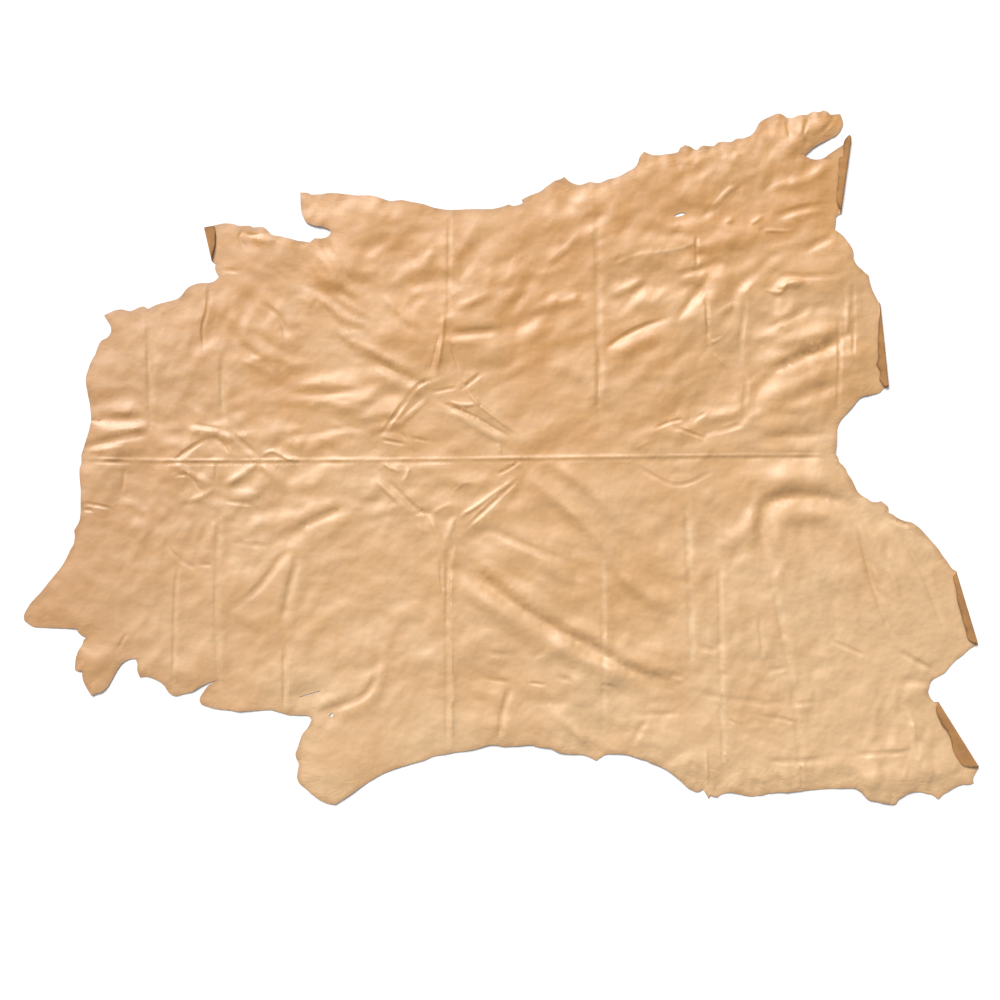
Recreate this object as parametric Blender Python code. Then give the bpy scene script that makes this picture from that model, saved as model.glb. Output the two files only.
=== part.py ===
# Leather hide: one whole side-to-side hide, grain side up, lying open on a flat surface.
#
# Frame: +X runs along the backbone from the neck to the tail, +Y points to the upper flank, +Z is up.
# The origin is the middle of the hide's box, on the surface that it lies on.
# The hide is laid out flat as it was cut, then its turned-over edges are rolled back over it, the
# swells and folds are raised, and the sheet gets its thickness upward from its flesh side.

import math
from collections import namedtuple

import bpy
import numpy as np
from mathutils import Vector
from mathutils.geometry import delaunay_2d_cdt
from mathutils.kdtree import KDTree

MM = 0.001

# Driving dimensions
THICKNESS = 1.5 * MM
FOLD_RADIUS = 5.0 * MM
FLAP_CLEARANCE = 0.9 * MM
# Share of the way down to that clearance that the widest part of a turned-over strip leans.
FLAP_LEAN = 0.8
# The lowest parts of the swells and folds press flat against the surface by these heights.
SWELL_SINKS = 1.4 * MM
FOLD_SINKS = 0.7 * MM
EDGE_STEP = 24.0 * MM
GRID_STEP = 52.0 * MM
FOLD_STEP = 62.0 * MM
ROLL_STEP = 27.0 * MM

# Fractions of the steps above that keep the points off the edge and off each other.
CLEAR_OF_EDGE = 0.42
CLEAR_OF_FOLD = 0.58
FOLD_CLEAR_OF_EDGE = 0.35
FOLD_CLEAR_OF_FOLD = 0.2
CLEAR_OF_ROLL = 9.0 * MM
# A row round a roll stops this far before the cut edge.
ROW_CLEAR_OF_EDGE = 2.0 * MM
# Nothing further than this past a fold line belongs to its roll.
FURTHEST_ROLL = 100.0 * MM
ROLL_FACETS = 6
# Points nearer than this are one point, and a line that rises less than this is level.
JOIN_DISTANCE = 1e-7
LEVEL = 1e-12
# A roll takes in the leather this far past the ends of its fold line.
ROLL_END_MARGIN = 10.0 * MM
# The leather lies flat this near a turned-over edge, and has its full swell this far from it.
FLAT_NEAR_ROLL = 48.0 * MM
FULL_SWELL_FROM_ROLL = 120.0 * MM

# The cut edge, walked clockwise as seen from above, starting at the neck's upper corner.
# A row is one turn of the edge: millimetres along the backbone from its middle, millimetres across
# it, and CORNER where the turn is sharp. Between the turns the edge runs in smooth curves.
# A name on its own stands for one of the turned-over edges below.
CORNER = "corner"
CUT_EDGE = [
    # upper side of the neck
    (-989, 361, CORNER), (-964, 373), (-946, 376), (-924, 372), (-899, 382), (-889, 384),
    (-879, 377, CORNER), (-861, 387), (-824, 397), (-809, 401), (-797, 409), (-785, 425),
    (-773, 434), (-755, 441), (-729, 442), (-713, 447), (-702, 458, CORNER), (-710, 471),
    (-712, 481), (-710, 490),
    "upper fore shank",
    # upper fore shank
    (-713, 586), (-691, 591), (-663, 589), (-653, 585), (-623, 584), (-617, 580, CORNER),
    (-591, 581), (-581, 574), (-569, 562), (-547, 558), (-507, 548), (-475, 543, CORNER),
    (-463, 553), (-447, 553), (-431, 557), (-422, 567), (-426, 576), (-440, 581), (-473, 588),
    (-484, 595), (-492, 608), (-496, 620), (-498, 642), (-499, 668, CORNER),
    # upper belly
    (-479, 667), (-472, 663, CORNER), (-447, 664), (-429, 667), (-403, 666), (-355, 661),
    (-325, 661), (-307, 657), (-275, 647), (-247, 649), (-223, 645), (-187, 638), (-165, 630),
    (-127, 625), (-75, 627), (-20, 627), (10, 634), (22, 639), (32, 635), (52, 639),
    (59, 645, CORNER), (54, 650, CORNER), (75, 661), (102, 672), (120, 686), (137, 697),
    (150, 701), (161, 707, CORNER), (175, 695), (197, 687), (212, 690), (225, 695), (240, 692),
    (255, 694), (267, 700), (295, 707), (317, 719), (335, 729), (344, 740), (349, 757),
    # upper flank
    (360, 770), (370, 765), (382, 761), (407, 762), (430, 765), (445, 769), (450, 780),
    (462, 786), (477, 781), (487, 775, CORNER), (494, 775), (500, 782), (507, 785), (535, 784),
    (545, 793), (557, 795), (577, 794), (590, 802), (605, 803), (625, 810), (637, 822),
    (647, 841), (660, 851), (680, 860), (692, 865), (707, 862), (717, 854), (730, 854),
    (750, 861), (767, 862), (782, 870), (797, 868), (807, 873), (817, 870), (825, 862),
    (850, 864), (855, 852), (857, 840), (852, 825), (840, 811), (822, 801), (800, 791),
    (785, 782), (760, 761, CORNER), (780, 751), (795, 751), (810, 755), (825, 766), (855, 786),
    "upper hind shank",
    # upper side of the butt
    (845, 612), (840, 607), (839, 590), (836, 576, CORNER), (845, 570), (855, 562), (867, 547),
    (875, 535), (882, 520), (880, 510), (885, 495), (892, 485), (907, 472), (921, 460, CORNER),
    (925, 440), (935, 415), (946, 396),
    "upper butt",
    # tail notch
    (958, 178), (951, 170, CORNER), (945, 167), (925, 162), (907, 159), (895, 150), (880, 132),
    (865, 115), (852, 100), (845, 85), (842, 70), (841, 50), (840, 30), (839, 15, CORNER),
    (845, 5), (847, -5), (855, -12), (864, -22), (867, -32), (877, -47), (885, -62), (892, -77),
    (902, -87), (917, -97), (930, -105), (945, -105), (952, -102), (970, -117), (971, -127),
    (970, -132, CORNER), (980, -135), (992, -145), (1007, -152), (1027, -156), (1050, -172),
    (1075, -199), (1095, -222), (1105, -237), (1120, -257), (1130, -272),
    "lower butt",
    # lower side of the butt
    (1175, -471), (1157, -487), (1137, -502), (1110, -532), (1095, -541), (1077, -552, CORNER),
    (1072, -565), (1069, -577), (1072, -587), (1077, -597), (1085, -605),
    "lower hind shank",
    # lower flank
    (1189, -782), (1182, -797), (1184, -807, CORNER), (1175, -810), (1155, -811), (1137, -817),
    (1120, -827), (1105, -839), (1095, -847, CORNER), (1080, -837), (1065, -834), (1052, -830),
    (1027, -830), (1015, -835), (997, -847), (990, -857), (980, -860), (962, -857), (945, -854),
    (922, -849), (912, -840), (900, -827), (890, -821), (857, -820), (825, -821), (780, -824),
    (750, -827), (722, -830), (685, -831), (642, -839), (620, -840), (592, -833), (570, -830),
    (552, -836), (542, -842), (532, -840), (525, -837), (520, -845, CORNER), (515, -834),
    (507, -822, CORNER), (500, -827), (490, -829), (480, -825), (465, -815), (450, -800),
    (432, -785), (410, -770), (390, -762), (367, -751), (350, -746), (320, -737),
    # lower belly
    (300, -733), (282, -734), (262, -737), (250, -744), (240, -751, CORNER), (220, -741),
    (205, -736), (182, -735), (150, -731), (137, -725), (125, -719), (100, -717), (75, -711),
    (50, -714), (10, -716), (-10, -712), (-27, -712), (-50, -719), (-75, -725), (-112, -730),
    (-137, -735), (-165, -740), (-187, -749), (-250, -767), (-295, -785), (-327, -803),
    # lower fore shank
    (-355, -822), (-397, -851), (-412, -861, CORNER), (-433, -857), (-451, -848), (-471, -834),
    (-489, -818), (-501, -808), (-507, -794), (-505, -776), (-503, -758), (-509, -746),
    (-511, -732), (-505, -718), (-500, -702), (-493, -684), (-481, -670), (-471, -650),
    (-474, -642), (-482, -638), (-523, -637), (-555, -629), (-569, -625), (-607, -626),
    (-655, -628), (-675, -625), (-701, -623), (-727, -617), (-745, -610), (-750, -602),
    (-749, -592), (-741, -580), (-729, -564), (-706, -550, CORNER), (-725, -555),
    # lower side of the neck
    (-748, -566), (-772, -580), (-792, -585), (-808, -589), (-818, -587), (-828, -580),
    (-838, -564), (-850, -553), (-868, -545), (-884, -541), (-900, -543, CORNER), (-906, -526),
    (-906, -510), (-910, -497, CORNER), (-920, -497), (-932, -500), (-946, -510), (-956, -524),
    (-968, -546), (-980, -566), (-994, -579), (-1010, -584), (-1020, -589, CORNER),
    (-1034, -566), (-1041, -550), (-1044, -526, CORNER), (-1054, -527), (-1062, -524, CORNER),
    (-1060, -498), (-1052, -474), (-1044, -462), (-1040, -449), (-1032, -444, CORNER),
    (-1048, -436), (-1056, -428), (-1054, -422, CORNER), (-1096, -420), (-1160, -417),
    (-1174, -412), (-1188, -402), (-1190, -390), (-1184, -376), (-1172, -357), (-1152, -336),
    # neck end
    (-1132, -312), (-1116, -292), (-1098, -270), (-1086, -250), (-1074, -226), (-1064, -207),
    (-1062, -187), (-1064, -176, CORNER), (-1050, -152), (-1047, -125), (-1047, -97),
    (-1047, -72), (-1050, -42), (-1050, -20), (-1046, -8), (-1046, 12), (-1039, 35), (-1031, 58),
    (-1026, 75), (-1022, 92), (-1022, 115), (-1025, 138), (-1030, 168), (-1033, 188),
    (-1034, 203), (-1028, 225), (-1021, 245), (-1010, 265), (-1006, 278), (-996, 298),
    (-982, 305), (-973, 317), (-971, 327), (-974, 337), (-982, 350),
]

# Edges that have turned over and lie back on the hide, flesh side up. The fold runs from start to
# end, clockwise as the cut edge does. A row of overlap is one place on the fold: millimetres along
# it, and how far the turned-over strip reaches back over the hide there.
TURNED_EDGES = {
    "upper fore shank": {
        "start": (-720, 497), "end": (-739, 579),
        "overlap": [(0, 0), (28, 13), (59, 24), (84, 26)],
    },
    "upper hind shank": {
        "start": (879, 810), "end": (852, 617),
        "overlap": [(0, 8), (12, 17), (25, 19), (55, 16), (61, 25), (85, 22), (123, 20),
                    (168, 16), (181, 9), (195, 0)],
    },
    "upper butt": {
        "start": (950, 390), "end": (971, 186),
        "overlap": [(0, 0), (40, 9), (100, 18), (135, 21), (150, 27), (167, 18), (187, 23),
                    (205, 13)],
    },
    "lower butt": {
        "start": (1142, -287), "end": (1194, -460),
        "overlap": [(0, 13), (28, 14), (58, 19), (95, 20), (140, 21), (164, 20), (181, 0)],
    },
    "lower hind shank": {
        "start": (1097, -607), "end": (1197, -767),
        "overlap": [(0, 9), (12, 18), (28, 21), (53, 24), (64, 21), (91, 24), (117, 34),
                    (145, 36), (163, 33), (174, 22), (187, 0)],
    },
}

# Holes through the leather: middle, half length and half width in millimetres, and turn in degrees.
Hole = namedtuple("Hole", "name along across half_long half_wide turn")
HOLES = [
    Hole("flank hole", 449, 613, 15.0, 4.0, 14),
    Hole("shank hole", -421, -637, 6.5, 3.6, 55),
    Hole("shank slit", -475, -585, 29.0, 1.4, 16),
]
HOLE_SIDES = 10

# Folds left by packing and handling. A ridge stands up along its line, a valley sinks along it
# between two soft banks. Height and half width in millimetres, then the line's turns.
RIDGE = "ridge"
VALLEY = "valley"
Fold = namedtuple("Fold", "name kind height half_width turns")
FOLDS = [
    Fold("backbone", RIDGE, 4.0, 9, [(-1046, 2), (-820, -3), (-500, -3), (-122, 2), (250, 5),
         (597, 14), (839, 13)]),
    Fold("neck fold, upper", VALLEY, 6.0, 13, [(-1020, 98), (-950, 96), (-880, 107)]),
    Fold("neck fold, lower", VALLEY, 4.5, 10, [(-1034, 33), (-960, 48), (-875, 66)]),
    Fold("first cross fold", VALLEY, 3.0, 9, [(-862, 385), (-866, 270), (-871, 150)]),
    Fold("second cross fold", VALLEY, 3.0, 9, [(-690, 275), (-692, 180), (-694, 90)]),
    Fold("small star, upper left", RIDGE, 3.0, 8, [(-820, 5), (-760, 45), (-695, 76)]),
    Fold("small star, upper right", RIDGE, 3.5, 8, [(-695, 76), (-605, 8), (-540, -58)]),
    Fold("small star, far left", RIDGE, 3.0, 8, [(-812, 150), (-755, 118), (-698, 80)]),
    Fold("small star, lower left", RIDGE, 3.0, 8, [(-820, -10), (-760, -48), (-696, -84)]),
    Fold("small star, lower right", RIDGE, 3.0, 8, [(-692, -84), (-640, -40), (-600, -12)]),
    Fold("small star, far right", RIDGE, 3.0, 8, [(-692, -90), (-620, -88), (-550, -92)]),
    Fold("fore cross fold, lower", VALLEY, 3.0, 9, [(-698, -110), (-706, -260), (-712, -420),
         (-715, -530)]),
    Fold("shoulder fold", VALLEY, 8.0, 16, [(-375, -118), (-455, -150), (-515, -195), (-545, -245),
         (-595, -325), (-650, -376)]),
    Fold("shoulder cross fold", VALLEY, 4.5, 9, [(-507, -262), (-530, -342), (-542, -475),
         (-545, -612)]),
    Fold("shoulder ripple, outer", VALLEY, 6.0, 13, [(-520, 160), (-435, 166), (-350, 164)]),
    Fold("shoulder ripple, inner", VALLEY, 4.0, 11, [(-500, 66), (-410, 76), (-320, 86)]),
    Fold("upper shank root", VALLEY, 5.0, 12, [(-418, 545), (-392, 500), (-365, 450), (-300, 395)]),
    Fold("large star, upper left", RIDGE, 4.0, 9, [(-292, 57), (-252, 118), (-218, 176),
         (-164, 200)]),
    Fold("large star, far left", VALLEY, 6.5, 12, [(-330, 250), (-250, 214), (-178, 180)]),
    Fold("large star, upper right", RIDGE, 4.0, 9, [(-150, 190), (-95, 172), (-20, 104), (55, 30)]),
    Fold("large star, lower left", VALLEY, 4.5, 9, [(-305, -10), (-262, -68), (-215, -124),
         (-160, -172)]),
    Fold("large star, lower right", VALLEY, 4.5, 9, [(55, -6), (8, -60), (-32, -112),
         (-106, -168)]),
    Fold("upper centre fold", RIDGE, 3.5, 9, [(-150, 200), (-146, 262), (-140, 300)]),
    Fold("upper centre dip", VALLEY, 7.0, 13, [(-134, 310), (-66, 316), (4, 320)]),
    Fold("top centre fold", VALLEY, 3.0, 9, [(-125, 600), (-126, 480), (-128, 350)]),
    Fold("lower centre fold", VALLEY, 5.0, 9, [(-130, -215), (-132, -350), (-134, -530),
         (-134, -715)]),
    Fold("long diagonal", VALLEY, 10.0, 18, [(-112, -222), (-25, -287), (100, -385), (225, -465),
         (350, -518), (425, -536)]),
    Fold("middle diagonal", VALLEY, 4.0, 12, [(-45, -160), (62, -214), (185, -262)]),
    Fold("short diagonal", VALLEY, 6.5, 14, [(70, -8), (150, -44), (236, -108), (280, -208),
         (350, -284), (420, -320)]),
    Fold("loin fold", VALLEY, 6.5, 12, [(260, 290), (350, 330), (424, 366)]),
    Fold("loin cross fold, upper", VALLEY, 3.0, 9, [(244, 660), (245, 480), (246, 300),
         (248, 120)]),
    Fold("loin cross fold, lower", VALLEY, 3.0, 9, [(246, -330), (248, -520), (250, -700)]),
    Fold("hip fold", VALLEY, 8.0, 13, [(452, 362), (500, 437), (558, 498)]),
    Fold("hip cross fold", VALLEY, 3.0, 9, [(410, 260), (412, 180), (415, 80)]),
    Fold("rump fold", VALLEY, 10.5, 18, [(628, 172), (700, 222), (787, 252), (880, 288)]),
    Fold("rump ripple", VALLEY, 5.0, 12, [(690, 338), (760, 372), (830, 390)]),
    Fold("tail fold", VALLEY, 5.0, 12, [(625, 48), (730, 52), (836, 58)]),
    Fold("rump arc", VALLEY, 9.5, 16, [(668, -245), (656, -180), (652, -130), (690, -100),
         (750, -92), (837, -106), (893, -138)]),
    Fold("thigh cross fold", VALLEY, 4.0, 9, [(455, -40), (470, -200), (478, -360), (485, -560)]),
    Fold("rump cross fold", VALLEY, 4.0, 9, [(540, -225), (545, -450), (556, -720)]),
    Fold("butt cross fold", VALLEY, 4.0, 9, [(672, -262), (707, -450), (742, -600), (754, -790)]),
    Fold("butt line, inner", VALLEY, 4.5, 9, [(892, -165), (942, -350), (990, -452)]),
    Fold("butt line, outer", VALLEY, 4.0, 9, [(985, -170), (1037, -252), (1087, -362),
         (1110, -430)]),
    Fold("lower shank root, upper", VALLEY, 4.5, 9, [(1002, -498), (1050, -508), (1090, -526)]),
    Fold("lower shank root, lower", VALLEY, 7.0, 11, [(985, -548), (1030, -556), (1070, -556)]),
    Fold("upper shank fold", VALLEY, 6.0, 9, [(690, 618), (738, 645), (790, 654), (825, 655)]),
    Fold("upper shank step", RIDGE, 5.0, 8, [(704, 598), (760, 624), (800, 629), (825, 629)]),
    Fold("lower fore shank fold", VALLEY, 6.5, 10, [(-468, -636), (-390, -607), (-336, -574),
         (-312, -488)]),
    Fold("belly crease", VALLEY, 4.5, 10, [(32, -560), (8, -610), (2, -700)]),
    Fold("lower flank crease", VALLEY, 5.0, 9, [(330, -722), (346, -684), (366, -650)]),
    Fold("finger pleat, inner", RIDGE, 5.0, 8, [(697, 845), (704, 812), (712, 790)]),
    Fold("finger pleat, middle", RIDGE, 5.0, 8, [(742, 846), (744, 818), (740, 790)]),
    Fold("finger pleat, outer", RIDGE, 5.5, 9, [(808, 858), (788, 828), (762, 796)]),
    Fold("lower pleat, first", RIDGE, 4.0, 8, [(612, -825), (622, -795), (634, -768)]),
    Fold("lower pleat, second", RIDGE, 4.5, 8, [(768, -812), (760, -780), (748, -752)]),
    Fold("lower pleat, third", RIDGE, 6.0, 10, [(918, -832), (930, -795), (932, -755)]),
    Fold("lower pleat, fourth", RIDGE, 5.5, 10, [(1008, -815), (1000, -782), (986, -750)]),
    Fold("lower pleat, fifth", RIDGE, 5.5, 10, [(1084, -818), (1062, -760), (1048, -690),
         (1042, -620)]),
]
# A valley's banks reach this many times as wide as its bottom, and stand this share of its height.
BANK_REACH = 3.0
BANK_SHARE = 0.75
# A fold fades over this share of its length at each end, down to this share of its height.
FADE_SHARE = 0.125
END_HEIGHT = 0.25
# Lines of points are laid beside a fold at this many half widths from it.
FOLD_SIDE_LINE = 1.7

# Broad swells where the leather stands off the surface: middle, half length, half width in
# millimetres, turn in degrees, and height in millimetres.
Swell = namedtuple("Swell", "name along across half_long half_wide turn height")
SWELLS = [
    Swell("rump", 725, 372, 150, 75, 20, 7.0),
    Swell("tail upper", 750, 105, 130, 45, 0, 5.5),
    Swell("tail lower", 762, -46, 130, 38, -2, 8.0),
    Swell("butt lower", 800, -260, 150, 110, -20, 6.0),
    Swell("butt lobe", 1015, -330, 95, 190, 20, 8.0),
    Swell("butt upper lobe", 880, 330, 60, 130, 5, 8.5),
    Swell("hip", 480, 300, 75, 150, -25, 7.0),
    Swell("loin", 345, 240, 140, 70, 20, 5.0),
    Swell("above long diagonal", 150, -300, 230, 70, -35, 8.0),
    Swell("below long diagonal", 0, -440, 230, 75, -34, 7.0),
    Swell("short diagonal", 260, -60, 110, 60, -35, 6.0),
    Swell("thigh", 600, -420, 110, 190, 5, 5.0),
    Swell("shoulder lower", -390, -60, 150, 55, 15, 6.5),
    Swell("shoulder upper", -250, 310, 190, 70, -22, 6.0),
    Swell("upper shank root", -410, 480, 70, 130, 25, 7.0),
    Swell("upper fore shank", -610, 530, 110, 60, -10, 7.0),
    Swell("upper belly", -330, 620, 130, 45, -4, 5.5),
    Swell("neck upper", -800, 250, 90, 150, 0, 5.0),
    Swell("neck middle", -950, 20, 90, 55, 5, 5.0),
    Swell("neck lower", -880, -200, 120, 110, 0, 5.0),
    Swell("neck corner", -1110, -340, 90, 60, 45, 5.5),
    Swell("neck tag", -1005, -520, 60, 75, 0, 8.0),
    Swell("neck tag, inner", -820, -550, 70, 45, 0, 7.5),
    Swell("lower shank edge", -620, -590, 120, 50, 0, 5.5),
    Swell("lower fore shank", -410, -780, 100, 85, 30, 8.0),
    Swell("belly left", -20, -685, 120, 50, 0, 6.0),
    Swell("belly right", 160, -690, 100, 50, -10, 6.5),
    Swell("lower flank", 470, -760, 110, 65, -20, 6.0),
    Swell("lower flank edge", 720, -775, 180, 55, 0, 6.0),
    Swell("lower shank lobe", 950, -800, 90, 60, 0, 8.5),
    Swell("lower shank tip", 1080, -780, 80, 55, 10, 9.0),
    Swell("upper finger", 790, 815, 110, 55, 22, 10.0),
    Swell("upper flank", 520, 690, 190, 75, 18, 6.0),
    Swell("upper belly right", 190, 610, 150, 60, 15, 6.0),
    Swell("upper loin", 300, 480, 110, 120, 30, 4.5),
    Swell("upper butt edge", 830, 540, 70, 80, 30, 7.5),
    Swell("centre upper", -60, 380, 120, 80, 15, 5.5),
]

LEATHER = {"colour": (0.730, 0.445, 0.238, 1.0), "roughness": 0.46, "metallic": 0.15}


def clear_scene():
    for item in list(bpy.data.objects):
        bpy.data.objects.remove(item, do_unlink=True)


def metres(pairs):
    return np.array([(row[0], row[1]) for row in pairs], dtype=float) * MM


def unit(vector):
    return vector / np.linalg.norm(vector)


def turned_length(overlap):
    # Leather from the start of the roll to the cut edge of a strip that reaches back by overlap.
    if overlap >= FOLD_RADIUS:
        return overlap + (math.pi - 1.0) * FOLD_RADIUS
    return FOLD_RADIUS * (math.pi - math.asin(1.0 - overlap / FOLD_RADIUS))


def build_rolls():
    # Each turned-over edge with its directions, the line where its roll starts, and its full turn.
    rolls = {}
    for name, row in TURNED_EDGES.items():
        start, end = metres([row["start"], row["end"]])
        along = unit(end - start)
        outward = np.array((-along[1], along[0]))
        overlap = metres(row["overlap"])
        drop = 2 * FOLD_RADIUS - 2 * THICKNESS - FLAP_CLEARANCE
        widest = overlap[:, 1].max()
        rolls[name] = {
            "origin": start - outward * FOLD_RADIUS,
            "along": along,
            "outward": outward,
            "length": np.linalg.norm(end - start),
            "overlap": overlap,
            "turn": math.pi + math.asin(min(1.0, drop / max(widest, drop))) * FLAP_LEAN,
        }
    return rolls


def flat_edge_of(roll):
    # The cut edge of a turned-over strip as it was before it turned over.
    rows = []
    for distance, overlap in roll["overlap"]:
        place = roll["origin"] + roll["along"] * distance + roll["outward"] * turned_length(overlap)
        rows.append(place)
    return rows


def cut_edge_points(rolls):
    # Turns of the flat cut edge, with the turned-over strips opened out, and which are corners.
    places, corners = [], []
    for row in CUT_EDGE:
        if isinstance(row, str):
            strip = flat_edge_of(rolls[row])
            places.extend(strip)
            corners.extend([True] + [False] * (len(strip) - 2) + [True])
        else:
            places.append(np.array(row[:2], dtype=float) * MM)
            corners.append(row[-1] == CORNER)
    return places, corners


def smooth_closed_edge(places, corners, step):
    # Hermite curve through the turns, its tangent broken at the corners, in chords up to step long.
    count = len(places)
    points = []
    for index in range(count):
        before, here = places[index - 1], places[index]
        after, beyond = places[(index + 1) % count], places[(index + 2) % count]
        run = after - here
        length = np.linalg.norm(run)
        leaving = run if corners[index] else after - before
        arriving = run if corners[(index + 1) % count] else beyond - here
        leaving = unit(leaving) * length
        arriving = unit(arriving) * length
        chords = max(1, math.ceil(length / step))
        for chord in range(chords):
            t = chord / chords
            points.append(
                (2 * t**3 - 3 * t**2 + 1) * here
                + (t**3 - 2 * t**2 + t) * leaving
                + (3 * t**2 - 2 * t**3) * after
                + (t**3 - t**2) * arriving
            )
    return np.array(points)


def hole_outline(hole):
    turn = math.radians(hole.turn)
    axis = np.array((math.cos(turn), math.sin(turn)))
    side = np.array((-axis[1], axis[0]))
    middle = np.array((hole.along, hole.across)) * MM
    outline = []
    for index in range(HOLE_SIDES):
        angle = 2 * math.pi * index / HOLE_SIDES
        reach = math.cos(angle) * hole.half_long * MM
        spread = math.sin(angle) * hole.half_wide * MM
        outline.append(middle + axis * reach + side * spread)
    return np.array(outline)


def inside_polygon(points, polygon):
    # Even-odd test of many points against one closed outline.
    x, y = points[:, 0:1], points[:, 1:2]
    x1, y1 = polygon[:, 0], polygon[:, 1]
    x2, y2 = np.roll(x1, -1), np.roll(y1, -1)
    spans = (y1 > y) != (y2 > y)
    rise = np.where(np.abs(y2 - y1) < LEVEL, LEVEL, y2 - y1)
    crossing = x1 + (y - y1) / rise * (x2 - x1)
    return (spans & (x < crossing)).sum(axis=1) % 2 == 1


def distance_to_line(points, line):
    # Distance of many points from a line of several turns, and how far along it they lie, 0 to 1.
    lengths = np.linalg.norm(np.diff(line, axis=0), axis=1)
    total = lengths.sum()
    nearest = np.full(len(points), np.inf)
    share = np.zeros(len(points))
    passed = 0.0
    for start, end, length in zip(line[:-1], line[1:], lengths):
        run = end - start
        along = np.clip(((points - start) @ run) / length**2, 0.0, 1.0)
        gap = np.linalg.norm(points - start - along[:, None] * run, axis=1)
        closer = gap < nearest
        nearest = np.where(closer, gap, nearest)
        share = np.where(closer, (passed + along * length) / total, share)
        passed += length
    return nearest, share


def walk_line(line, step):
    # Points at even steps along a line, with the line's direction at each.
    lengths = np.linalg.norm(np.diff(line, axis=0), axis=1)
    stops = np.concatenate([[0.0], np.cumsum(lengths)])
    count = max(2, math.ceil(stops[-1] / step) + 1)
    places = np.linspace(0.0, stops[-1], count)
    points = np.column_stack([np.interp(places, stops, line[:, axis]) for axis in (0, 1)])
    runs = np.gradient(points, axis=0)
    return points, runs / np.linalg.norm(runs, axis=1)[:, None]


def swell_height(points):
    height = np.zeros(len(points))
    for swell in SWELLS:
        angle = math.radians(swell.turn)
        offset = points - np.array((swell.along, swell.across)) * MM
        long_way = offset[:, 0] * math.cos(angle) + offset[:, 1] * math.sin(angle)
        wide_way = offset[:, 1] * math.cos(angle) - offset[:, 0] * math.sin(angle)
        reach = (long_way / swell.half_long) ** 2 + (wide_way / swell.half_wide) ** 2
        height += swell.height * MM * np.exp(-reach / MM**2)
    return np.maximum(height - SWELL_SINKS, 0.0)


def fold_height(points):
    height = np.zeros(len(points))
    for fold in FOLDS:
        gap, share = distance_to_line(points, metres(fold.turns))
        fade = np.clip(np.minimum(share, 1.0 - share) / FADE_SHARE, END_HEIGHT, 1.0)
        reach = gap / (fold.half_width * MM)
        profile = np.exp(-(reach**2))
        if fold.kind == VALLEY:
            profile = BANK_SHARE * np.exp(-((reach / BANK_REACH) ** 2)) - profile
        height += fold.height * MM * fade * profile
    return height


def sheet_height(points, rolls):
    # Height of the flesh side above the surface before the edges turn over.
    height = np.maximum(swell_height(points) + fold_height(points) - FOLD_SINKS, 0.0)
    near = np.full(len(points), np.inf)
    for roll in rolls.values():
        ends = np.array([roll["origin"], roll["origin"] + roll["along"] * roll["length"]])
        near = np.minimum(near, distance_to_line(points, ends)[0])
    free = np.clip((near - FLAT_NEAR_ROLL) / (FULL_SWELL_FROM_ROLL - FLAT_NEAR_ROLL), 0.0, 1.0)
    return height * free * free * (3.0 - 2.0 * free)


def roll_places(points, heights, rolls):
    # The laid-out sheet in space, with each strip past a roll's start carried round it.
    placed = np.column_stack([points, heights])
    for roll in rolls.values():
        offset = points - roll["origin"]
        along = offset @ roll["along"]
        past = offset @ roll["outward"]
        reach = turned_length(roll["overlap"][:, 1].max()) + EDGE_STEP
        taken = (past > 0) & (past < reach)
        taken &= (along > -ROLL_END_MARGIN) & (along < roll["length"] + ROLL_END_MARGIN)
        arc = roll["turn"] * FOLD_RADIUS
        angle = np.minimum(past, arc) / FOLD_RADIUS
        straight = np.maximum(past - arc, 0.0)
        out = FOLD_RADIUS * np.sin(angle) + straight * math.cos(roll["turn"])
        rise = FOLD_RADIUS * (1.0 - np.cos(angle)) + straight * math.sin(roll["turn"])
        flat = roll["origin"] + along[:, None] * roll["along"] + out[:, None] * roll["outward"]
        rolled = np.column_stack([flat, heights + rise])
        placed = np.where(taken[:, None], rolled, placed)
    return placed


class Layout:
    # Points and joining lines of the flat sheet, gathered before it is filled with triangles.

    def __init__(self):
        self.points = []
        self.lines = []

    def add_point(self, point):
        self.points.append(point)
        return len(self.points) - 1

    def add_loop(self, points):
        places = [self.add_point(point) for point in points]
        self.lines.extend(zip(places, places[1:] + places[:1]))

    def add_chain(self, points, kept):
        # Joins the neighbours in a row of points that are both kept.
        previous = None
        for point, keep in zip(points, kept):
            place = self.add_point(point) if keep else None
            if place is not None and previous is not None:
                self.lines.append((previous, place))
            previous = place


def tree_of(points):
    tree = KDTree(len(points))
    for index, point in enumerate(points):
        tree.insert((point[0], point[1], 0.0), index)
    tree.balance()
    return tree


def nearest_gap(tree, point):
    return tree.find((point[0], point[1], 0.0))[2]


def lay_rolls(layout, rolls):
    # Rows of points round each roll, so that the turned-over edge is a smooth half tube.
    for roll in rolls.values():
        stations = max(2, math.ceil(roll["length"] / ROLL_STEP))
        distances = (np.arange(stations) + 0.5) * roll["length"] / stations
        overlap = np.interp(distances, roll["overlap"][:, 0], roll["overlap"][:, 1])
        lengths = np.array([turned_length(value) for value in overlap])
        for facet in range(ROLL_FACETS + 1):
            past = math.pi * FOLD_RADIUS * facet / ROLL_FACETS
            points = [
                roll["origin"] + roll["along"] * distance + roll["outward"] * past
                for distance in distances
            ]
            layout.add_chain(points, lengths > past + ROW_CLEAR_OF_EDGE)


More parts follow.
